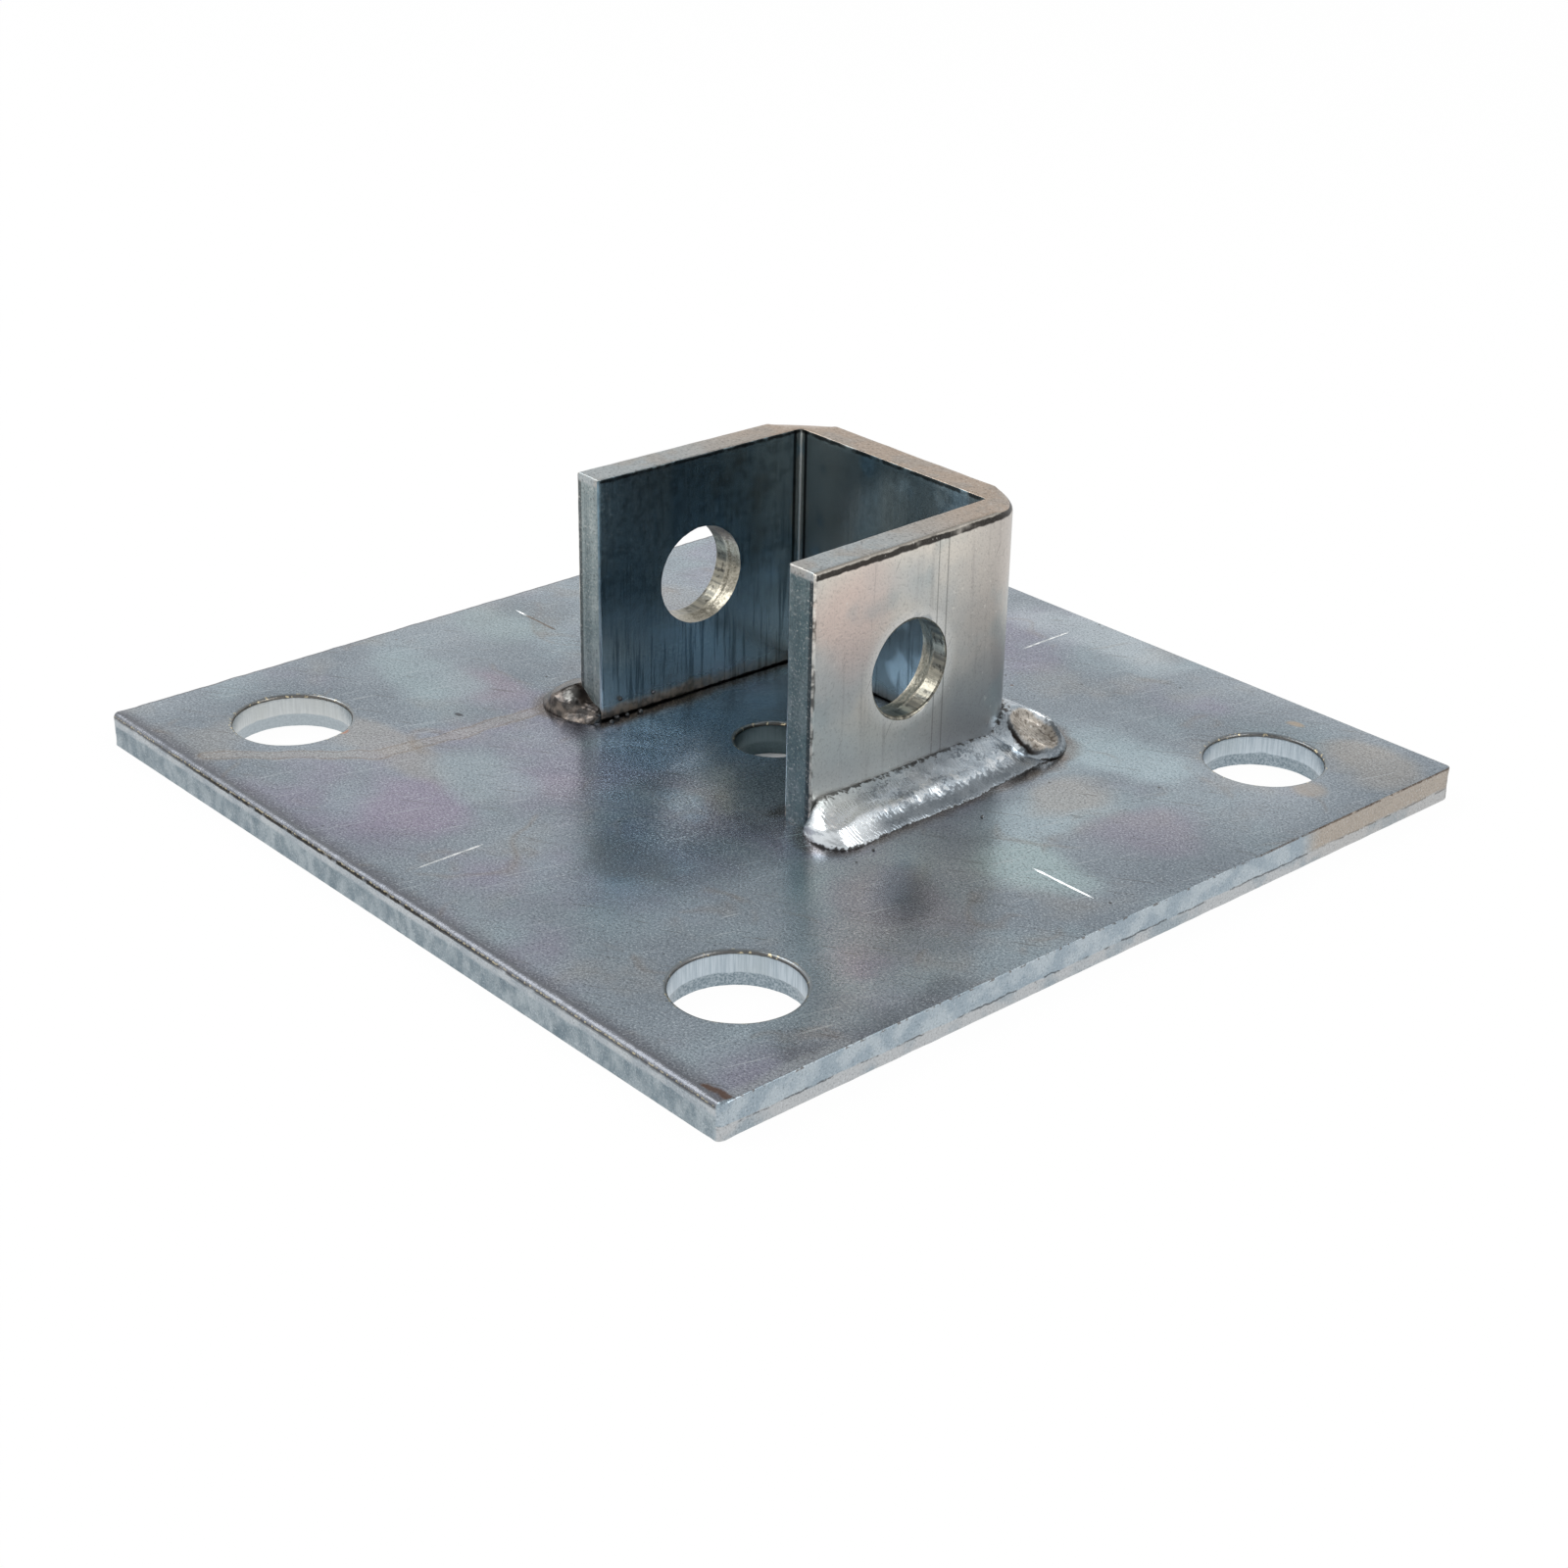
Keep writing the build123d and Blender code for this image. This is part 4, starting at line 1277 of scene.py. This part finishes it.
def zinc_on_bar_inside():
    """Thin blue passivated zinc inside the U: dark and glossy, with streaks where the die drew the bar."""
    finish, tree, place = new_finish("zinc_plated_bar_inside")
    split = add(tree, "SeparateXYZ", (warped(tree, place, 9, 4),)).outputs
    colour = layered(tree, srgb("#788F9B"), ("#929FA2", streaks_down(tree, place, 5, 0.35, 0.7, 0.8)))
    fine = overlap(
        tree, streaks_down(tree, place, 0.55, 0.48, 0.66, 0.75),
        add(tree, "MapRange", (split[2], 36, 22, 0.3, 1), **EASED).outputs[0],
    )
    colour = layered(
        tree, colour,
        ("#2F434E", fine),
        ("#3B4E58", cloud(tree, place, 1.6, 0.46, 0.64, 0.35)),
        ("#CBD7DC", cloud(tree, place, 0.7, 0.6, 0.68, 0.2)),
        ("#DDECF4", add(tree, "MapRange", (split[2], 29, 12, 0, 1), **EASED).outputs[0]),
    )
    drips = overlap(
        tree, streaks_down(tree, place, 0.8, 0.5, 0.62, 0.6),
        add(tree, "MapRange", (split[2], 26, 18, 0, 1), **EASED).outputs[0],
    )
    colour = layered(tree, colour, ("#4E6470", drips))
    level = add(tree, "SeparateXYZ", (warped(tree, warped(tree, place, 3.5, 1.2), 0.9, 0.35),)).outputs[2]
    # Welding soot rises from the joint at the foot.
    soot = overlap(
        tree, add(tree, "MapRange", (level, 8.8, 7.2, 0, 0.9), **EASED).outputs[0],
        add(tree, "MapRange", (split[1], -2, 14, 1, 0.45), **EASED).outputs[0],
    )
    soot_tone = layered(tree, srgb("#A89888"), ("#6E635B", cloud(tree, place, 1.3, 0.4, 0.62)))
    colour = layered(tree, colour, (soot_tone, soot))
    # Painted shadow: a black line right at the foot, where the bar meets the plate.
    rim = add(tree, "SeparateXYZ", (warped(tree, place, 1.3, 0.3),)).outputs[2]
    colour = layered(
        tree, colour,
        ("#1A1715", add(tree, "MapRange", (rim, 6.3, 6.05, 0, 0.95), **EASED).outputs[0]),
        ("#77756C", cloud(tree, place, 9, 0.55, 0.7, 0.5)),
    )
    # The web is browner than the ears, and lighter beside the left fold.
    web = add(tree, "MapRange", (split[1], web_inner_y - 1.5, web_inner_y - 0.5, 0, 1), **EASED).outputs[0]
    colour = layered(tree, colour, ("#5F6767", overlap(tree, web, 0.6)))
    light = overlap(tree, web, add(tree, "MapRange", (split[0], -6, -16, 0, 0.8), **EASED).outputs[0])
    colour = layered(tree, colour, ("#A8AAA6", light))
    arris = overlap(
        tree,
        add(tree, "MapRange", (rim, bracket_top - 0.9, bracket_top - 0.55, 0, 0.85), **EASED).outputs[0],
        cloud(tree, place, 3, 0.3, 0.5),
    )
    colour = layered(tree, colour, ("#1B1917", arris))
    # The fold in the left inner corner is a narrow ridge between two lines of painted shade.
    flat = add(tree, "VectorMath", (place, (1, 1, 0)), operation="MULTIPLY").outputs[0]
    corner = (OFF_CENTRE - SOCKET_WIDTH / 2, web_inner_y, 0)
    painted_fold_shade = add(tree, "VectorMath", (flat, corner), operation="DISTANCE").outputs[1]
    painted_fold_shade = apart(tree, painted_fold_shade, 1.25)
    colour = layered(
        tree, colour,
        ("#10161A", add(tree, "MapRange", (painted_fold_shade, 0.45, 0.15, 0, 0.85), **EASED).outputs[0]),
    )
    coat(
        tree, colour, add(tree, "MapRange", (soot, 0, 1, 0.27, 0.6), **EASED).outputs[0],
        relief(tree, place, ((6, 0.08, UPRIGHT), (0.6, 0.015, UPRIGHT), (0.5, 0.02, EVEN))),
    )
    return finish


def zinc_on_bar_edge():
    """Zinc over the bar's sheared edges: grainy and light on top, darker and bluer on the ends."""
    finish, tree, place = new_finish("zinc_plated_bar_edge")
    split = add(tree, "SeparateXYZ", (place,)).outputs
    top = add(tree, "MapRange", (split[2], bracket_top - 1.6, bracket_top - 1.1, 0, 1), **EASED).outputs[0]
    ends = layered(
        tree, srgb("#73868B"),
        ("#98A4A6", cloud(tree, place, 4, 0.4, 0.6)),
        ("#B9BFBC", add(tree, "MapRange", (split[0], -20, -24, 0, 0.4), **EASED).outputs[0]),
        ("#4F6264", add(tree, "MapRange", (split[0], 20, 24, 0, 0.6), **EASED).outputs[0]),
        ("#56666B", streaks_down(tree, place, 1.5, 0.45, 0.65, 0.45)),
    )
    away = apart(tree, split[0], OFF_CENTRE)
    ends = layered(
        tree, ends,
        ("#23262A", add(tree, "MapRange", (away, 26.6, 27.0, 0, 0.7), **EASED).outputs[0]),
    )
    over = layered(
        tree, srgb("#ADB4B6"),
        ("#B9A898", add(tree, "MapRange", (split[1], -6, 22, 0, 1), **EASED).outputs[0]),
        ("#ABA49C", cloud(tree, place, 5, 0.45, 0.6, 0.6)),
    )
    colour = layered(tree, ends, (over, top))
    grainy = add(
        tree, "TexNoise", {"Vector": place, "Scale": 1 / 0.45, "Detail": 3.0, "Roughness": 0.75},
    ).outputs[0]
    colour = layered(
        tree, colour,
        ("#4A4846", add(tree, "MapRange", (grainy, 0.48, 0.3, 0.0, 0.6), **EASED).outputs[0]),
        ("#D9D6D0", add(tree, "MapRange", (grainy, 0.54, 0.72, 0.0, 0.55), **EASED).outputs[0]),
    )
    coat(tree, colour, 0.42, relief(tree, place, ((0.5, 0.08, EVEN), (2.5, 0.08, EVEN))))
    return finish


def zinc_on_weld():
    """Bright zinc over a smooth weld bead, with soot along its toe and shoulder and brown heat tints."""
    finish, tree, place = new_finish("zinc_plated_weld")
    across = add(tree, "Attribute", attribute_name="across").outputs["Fac"]
    frayed = add(tree, "TexNoise", {"Vector": place, "Scale": 1 / 0.7, "Detail": 3.0}).outputs[0]
    frayed = add(tree, "MapRange", (frayed, 0.3, 0.7, -0.06, 0.06), **EASED).outputs[0]
    across = add(tree, "Math", (across, frayed), operation="ADD").outputs[0]
    colour = layered(
        tree, srgb("#A2AFB9"),
        ("#C8D1D8", cloud(tree, place, 3.5, 0.35, 0.65)),
        ("#8E8983", cloud(tree, place, 6, 0.56, 0.7, 0.4)),
        ("#D9DEE0", cloud(tree, place, 1.1, 0.6, 0.7, 0.4)),
    )
    split = add(tree, "SeparateXYZ", (place,)).outputs
    colour = layered(
        tree, colour,
        ("#DCE6EE", add(tree, "MapRange", (split[0], 24, 27, 0, 0.4), **EASED).outputs[0]),
    )
    # The pool's edge left fine lines along the bead.
    ripple = add(tree, "Attribute", attribute_name="ripple").outputs["Fac"]
    along = add(tree, "Math", (ripple, 0.16), operation="MULTIPLY").outputs[0]
    up = add(tree, "Math", (across, 13), operation="MULTIPLY").outputs[0]
    bead = add(tree, "MapRange", (split[0], -9, 9, 0, 9), **EASED).outputs[0]
    run = add(tree, "CombineXYZ", (along, up, bead)).outputs[0]
    lines = add(tree, "TexNoise", {"Vector": run, "Scale": 1.0, "Detail": 3.0}).outputs[0]
    colour = layered(
        tree, colour,
        ("#58636E", add(tree, "MapRange", (lines, 0.5, 0.36, 0, 0.65), **EASED).outputs[0]),
        ("#EAF2F9", add(tree, "MapRange", (lines, 0.56, 0.66, 0, 0.6), **EASED).outputs[0]),
    )
    # The ridge carries a painted highlight, and the flanks above and below it carry painted shade.
    painted_ridge_highlight = apart(tree, across, 0.46)
    painted_ridge_highlight = overlap(
        tree, add(tree, "MapRange", (painted_ridge_highlight, 0.09, 0.02, 0, 1), **EASED).outputs[0],
        cloud(tree, place, 2, 0.45, 0.55, 0.6),
    )
    painted_shade_upper_flank = overlap(
        tree, add(tree, "MapRange", (across, 0.52, 0.64, 0, 1), **EASED).outputs[0],
        add(tree, "MapRange", (across, 0.9, 0.78, 0, 0.15), **EASED).outputs[0],
    )
    painted_shade_lower_flank = overlap(
        tree, add(tree, "MapRange", (across, 0.04, 0.12, 0, 0.75), **EASED).outputs[0],
        add(tree, "MapRange", (across, 0.42, 0.32, 0, 1), **EASED).outputs[0],
    )
    colour = layered(
        tree, colour,
        ("#EEF2F4", painted_ridge_highlight),
        ("#747C82", painted_shade_upper_flank),
        ("#6A7177", painted_shade_lower_flank),
    )
    # Painted highlight on the right bead's nose.
    nose = add(tree, "VectorMath", (place, (31, -15, 8)), operation="DISTANCE").outputs[1]
    colour = layered(
        tree, colour,
        ("#EDF2F5", add(tree, "MapRange", (nose, 9, 3, 0, 0.85), **EASED).outputs[0]),
    )
    # The left bead's front end is burnt brown, with a painted highlight on its crest.
    left = add(tree, "MapRange", (split[0], -22.4, -22.9, 0, 1), **EASED).outputs[0]
    front = overlap(tree, left, add(tree, "MapRange", (split[1], -9, -14, 0, 0.95), **EASED).outputs[0])
    burnt_front = layered(tree, srgb("#3E3A37"), ("#6E655E", cloud(tree, place, 1.5, 0.4, 0.65)))
    colour = layered(tree, colour, (burnt_front, front))
    crest = add(tree, "VectorMath", (place, (-28.6, -18.6, 9)), operation="DISTANCE").outputs[1]
    colour = layered(
        tree, colour,
        ("#E4E4E0", add(tree, "MapRange", (crest, 1.7, 0.6, 0, 0.85), **EASED).outputs[0]),
    )
    # Painted shade lies in the hollow of that end, and soot along the toe and the shoulder of every bead.
    painted_hollow_shade = overlap(
        tree, add(tree, "MapRange", (across, 0.42, 0.66, 0, 0.9), **EASED).outputs[0],
        add(tree, "MapRange", (split[1], -16.9, -17.4, 0, 1), **EASED).outputs[0],
        add(tree, "MapRange", (split[0], -21, -22, 0, 1), **EASED).outputs[0],
    )
    colour = layered(
        tree, colour,
        ("#1A1715", painted_hollow_shade),
        ("#2E2A27", add(tree, "MapRange", (across, 0.1, 0.03, 0, 0.9), **EASED).outputs[0]),
        ("#38332F", add(tree, "MapRange", (across, 0.82, 0.9, 0, 0.85), **EASED).outputs[0]),
    )
    # The crater is pitted and light beige inside, with a black line of painted shadow along its edge,
    # most of all at the lower front.
    away = warped(tree, place, 1.6, 0.35)
    away = add(tree, "VectorMath", (away, CRATER_PLACE), operation="SUBTRACT").outputs[0]
    crater = add(tree, "VectorMath", (away,), operation="LENGTH").outputs[1]
    pits = add(tree, "TexNoise", {"Vector": place, "Scale": 1 / 0.6, "Detail": 3.0}).outputs[0]
    burnt = layered(
        tree, srgb("#B9B1A6"),
        ("#80766A", add(tree, "MapRange", (pits, 0.5, 0.38, 0, 1), **EASED).outputs[0]),
        ("#EFEDE8", add(tree, "MapRange", (pits, 0.6, 0.7, 0, 0.8), **EASED).outputs[0]),
    )
    inside = add(
        tree, "MapRange", (crater, CRATER_RADIUS - 0.1, CRATER_RADIUS - 0.6, 0, 0.9), **EASED,
    ).outputs[0]
    colour = layered(tree, colour, (burnt, inside))
    edge = apart(tree, crater, CRATER_RADIUS - 0.15)
    lower_front = (-0.24, -0.73, -0.63)
    painted_shadow_side = add(tree, "VectorMath", (away, lower_front), operation="DOT_PRODUCT").outputs[1]
    painted_shadow_side = add(tree, "MapRange", (painted_shadow_side, 0, 3, 0.12, 1), **EASED).outputs[0]
    edge = overlap(tree, add(tree, "MapRange", (edge, 0.32, 0.1, 0, 1), **EASED).outputs[0], painted_shadow_side)
    colour = layered(tree, colour, ("#26211E", edge))
    # Each ripple is where the pool froze as it moved on.
    # They are clear at the bead's start and faint after it.
    phase = add(tree, "Math", (ripple, 2 * math.pi / RIPPLE_SPACING), operation="MULTIPLY").outputs[0]
    drift = cloud(tree, place, 2.5, 0.2, 0.8)
    drift = add(tree, "MapRange", (drift, 0, 1, 0, 4), **EASED).outputs[0]
    phase = add(tree, "Math", (phase, drift), operation="ADD").outputs[0]
    waves = add(tree, "Math", (phase,), operation="SINE").outputs[0]
    clear = overlap(
        tree, add(tree, "MapRange", (ripple, 4, 12, 0.7, 0.25), **EASED).outputs[0],
        add(tree, "MapRange", (left, 0, 1, 1, 0.35), **EASED).outputs[0],
    )
    waves = add(tree, "Math", (waves, clear), operation="MULTIPLY").outputs[0]
    normal = add(
        tree, "Bump",
        {"Height": waves, "Distance": 0.02 * MM, "Normal": relief(tree, place, ((0.7, 0.04, EVEN),))},
    ).outputs[0]
    coat(tree, colour, add(tree, "MapRange", (crater, 4.8, 4.2, 0.27, 0.5), **EASED).outputs[0], normal)
    return finish


# Studio

CAMERA_PLACE = (294.9, -263.6, 192.6)
CAMERA_AZIMUTH = 47.955
CAMERA_ELEVATION = 26.223
CAMERA_ROLL = 1.093
CAMERA_LENS = 62.61


def add_camera():
    """Camera fitted to the plate's corners and to the holes in the photo."""
    azimuth, elevation, roll = (
        math.radians(angle) for angle in (CAMERA_AZIMUTH, CAMERA_ELEVATION, CAMERA_ROLL)
    )
    back = Vector((
        math.sin(azimuth) * math.cos(elevation),
        -math.cos(azimuth) * math.cos(elevation),
        math.sin(elevation),
    ))
    right = Vector((0, 0, 1)).cross(back).normalized()
    up = back.cross(right)
    level = Matrix((right, up, back)).transposed()
    turn = Matrix.Rotation(roll, 3, "Z")
    lens = bpy.data.cameras.new("camera")
    lens.lens = CAMERA_LENS
    lens.sensor_width = 36
    lens.clip_start = 0.01
    camera = bpy.data.objects.new("camera", lens)
    camera.matrix_world = Matrix.Translation(Vector(CAMERA_PLACE) * MM) @ (level @ turn).to_4x4()
    bpy.context.scene.collection.objects.link(camera)
    bpy.context.scene.camera = camera


def seen_or_mirrored(tree):
    """1 for rays from the camera, and for those that a mirror or glass sends on."""
    path = add(tree, "LightPath").outputs
    rays = add(tree, "Math", (path["Is Camera Ray"], path["Is Glossy Ray"]), operation="ADD").outputs[0]
    through = path["Is Transmission Ray"]
    return add(tree, "Math", (rays, through), operation="ADD", use_clamp=True).outputs[0]


def add_floor():
    """White paper that shows as pure white, a hair below the plate."""
    mesh = bpy.data.meshes.new("floor")
    reach = 3
    corners = [(-reach, -reach, 0), (reach, -reach, 0), (reach, reach, 0), (-reach, reach, 0)]
    mesh.from_pydata(corners, [], [(0, 1, 2, 3)])
    floor = bpy.data.objects.new("floor", mesh)
    floor.location.z = -0.05 * MM
    bpy.context.scene.collection.objects.link(floor)
    paper = bpy.data.materials.new("white_paper")
    paper.use_nodes = True
    tree = paper.node_tree
    tree.nodes.clear()
    matt = add(tree, "BsdfDiffuse", {"Color": srgb("#F2F2F2")}).outputs[0]
    white = add(tree, "Emission", {"Color": srgb("#FFFFFF"), "Strength": 1.0}).outputs[0]
    # Under the centre hole the paper lies in the U's shade.
    far = add(tree, "VectorMath", (add(tree, "TexCoord").outputs["Object"],), operation="LENGTH").outputs[1]
    shade = add(tree, "MapRange", (far, 7.5 * MM, 10 * MM, 0, 0.97), **EASED).outputs[0]
    share = overlap(tree, seen_or_mirrored(tree), shade)
    both = add(tree, "MixShader", (share, matt, white)).outputs[0]
    add(tree, "OutputMaterial", (both,))
    mesh.materials.append(paper)


def add_light():
    """A white studio round the part, and two softboxes."""
    world = bpy.data.worlds.new("studio")
    bpy.context.scene.world = world
    world.use_nodes = True
    tree = world.node_tree
    tree.nodes.clear()
    soft = add(tree, "Background", {"Color": srgb("#FFFFFF"), "Strength": 0.7}).outputs[0]
    # The studio's walls are white, and its ceiling is greyer towards the middle.
    height = add(tree, "SeparateXYZ", (add(tree, "TexCoord").outputs["Generated"],)).outputs[2]
    tone = add(tree, "MapRange", (height, 0.3, 0.95, 1.0, 0.4)).outputs[0]
    white = add(tree, "Background", {"Color": srgb("#FFFFFF"), "Strength": tone}).outputs[0]
    both = add(tree, "MixShader", (seen_or_mirrored(tree), soft, white)).outputs[0]
    add(tree, "OutputWorld", (both,))
    for name, place, size, power in (
        ("softbox_left", (-0.6, -0.5, 0.9), 0.7, 6),
        ("softbox_right", (0.8, 0.3, 0.8), 0.6, 4),
    ):
        light = bpy.data.lights.new(name, "AREA")
        light.shape = "SQUARE"
        light.size = size
        light.energy = power
        lamp = bpy.data.objects.new(name, light)
        lamp.location = place
        lamp.rotation_euler = (-Vector(place)).to_track_quat("-Z", "Y").to_euler()
        bpy.context.scene.collection.objects.link(lamp)


def main():
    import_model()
    bpy.context.scene.view_settings.view_transform = "Standard"
    add_camera()
    plate = make_plate(
        zinc_on_mill_face(), zinc_on_sheared_edge(), zinc_on_punched_wall(), zinc_in_scribed_mark(),
    )
    bracket = make_bracket(
        zinc_on_bar_outside(), zinc_on_bar_inside(), zinc_on_bar_edge(), zinc_on_bolt_hole(),
    )
    pieces = [(plate, "base_plate", "plate"), (bracket, "strut_bracket", "bracket")]
    weld_finish = zinc_on_weld()
    pieces += [(weld, node, "weld") for node, weld in make_welds(weld_finish).items()]
    for piece, node, slot in pieces:
        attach(piece, "root")
        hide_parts(node)
    spatter = make_spatter(weld_finish)
    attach(spatter, "root")
    add_floor()
    add_light()


main()
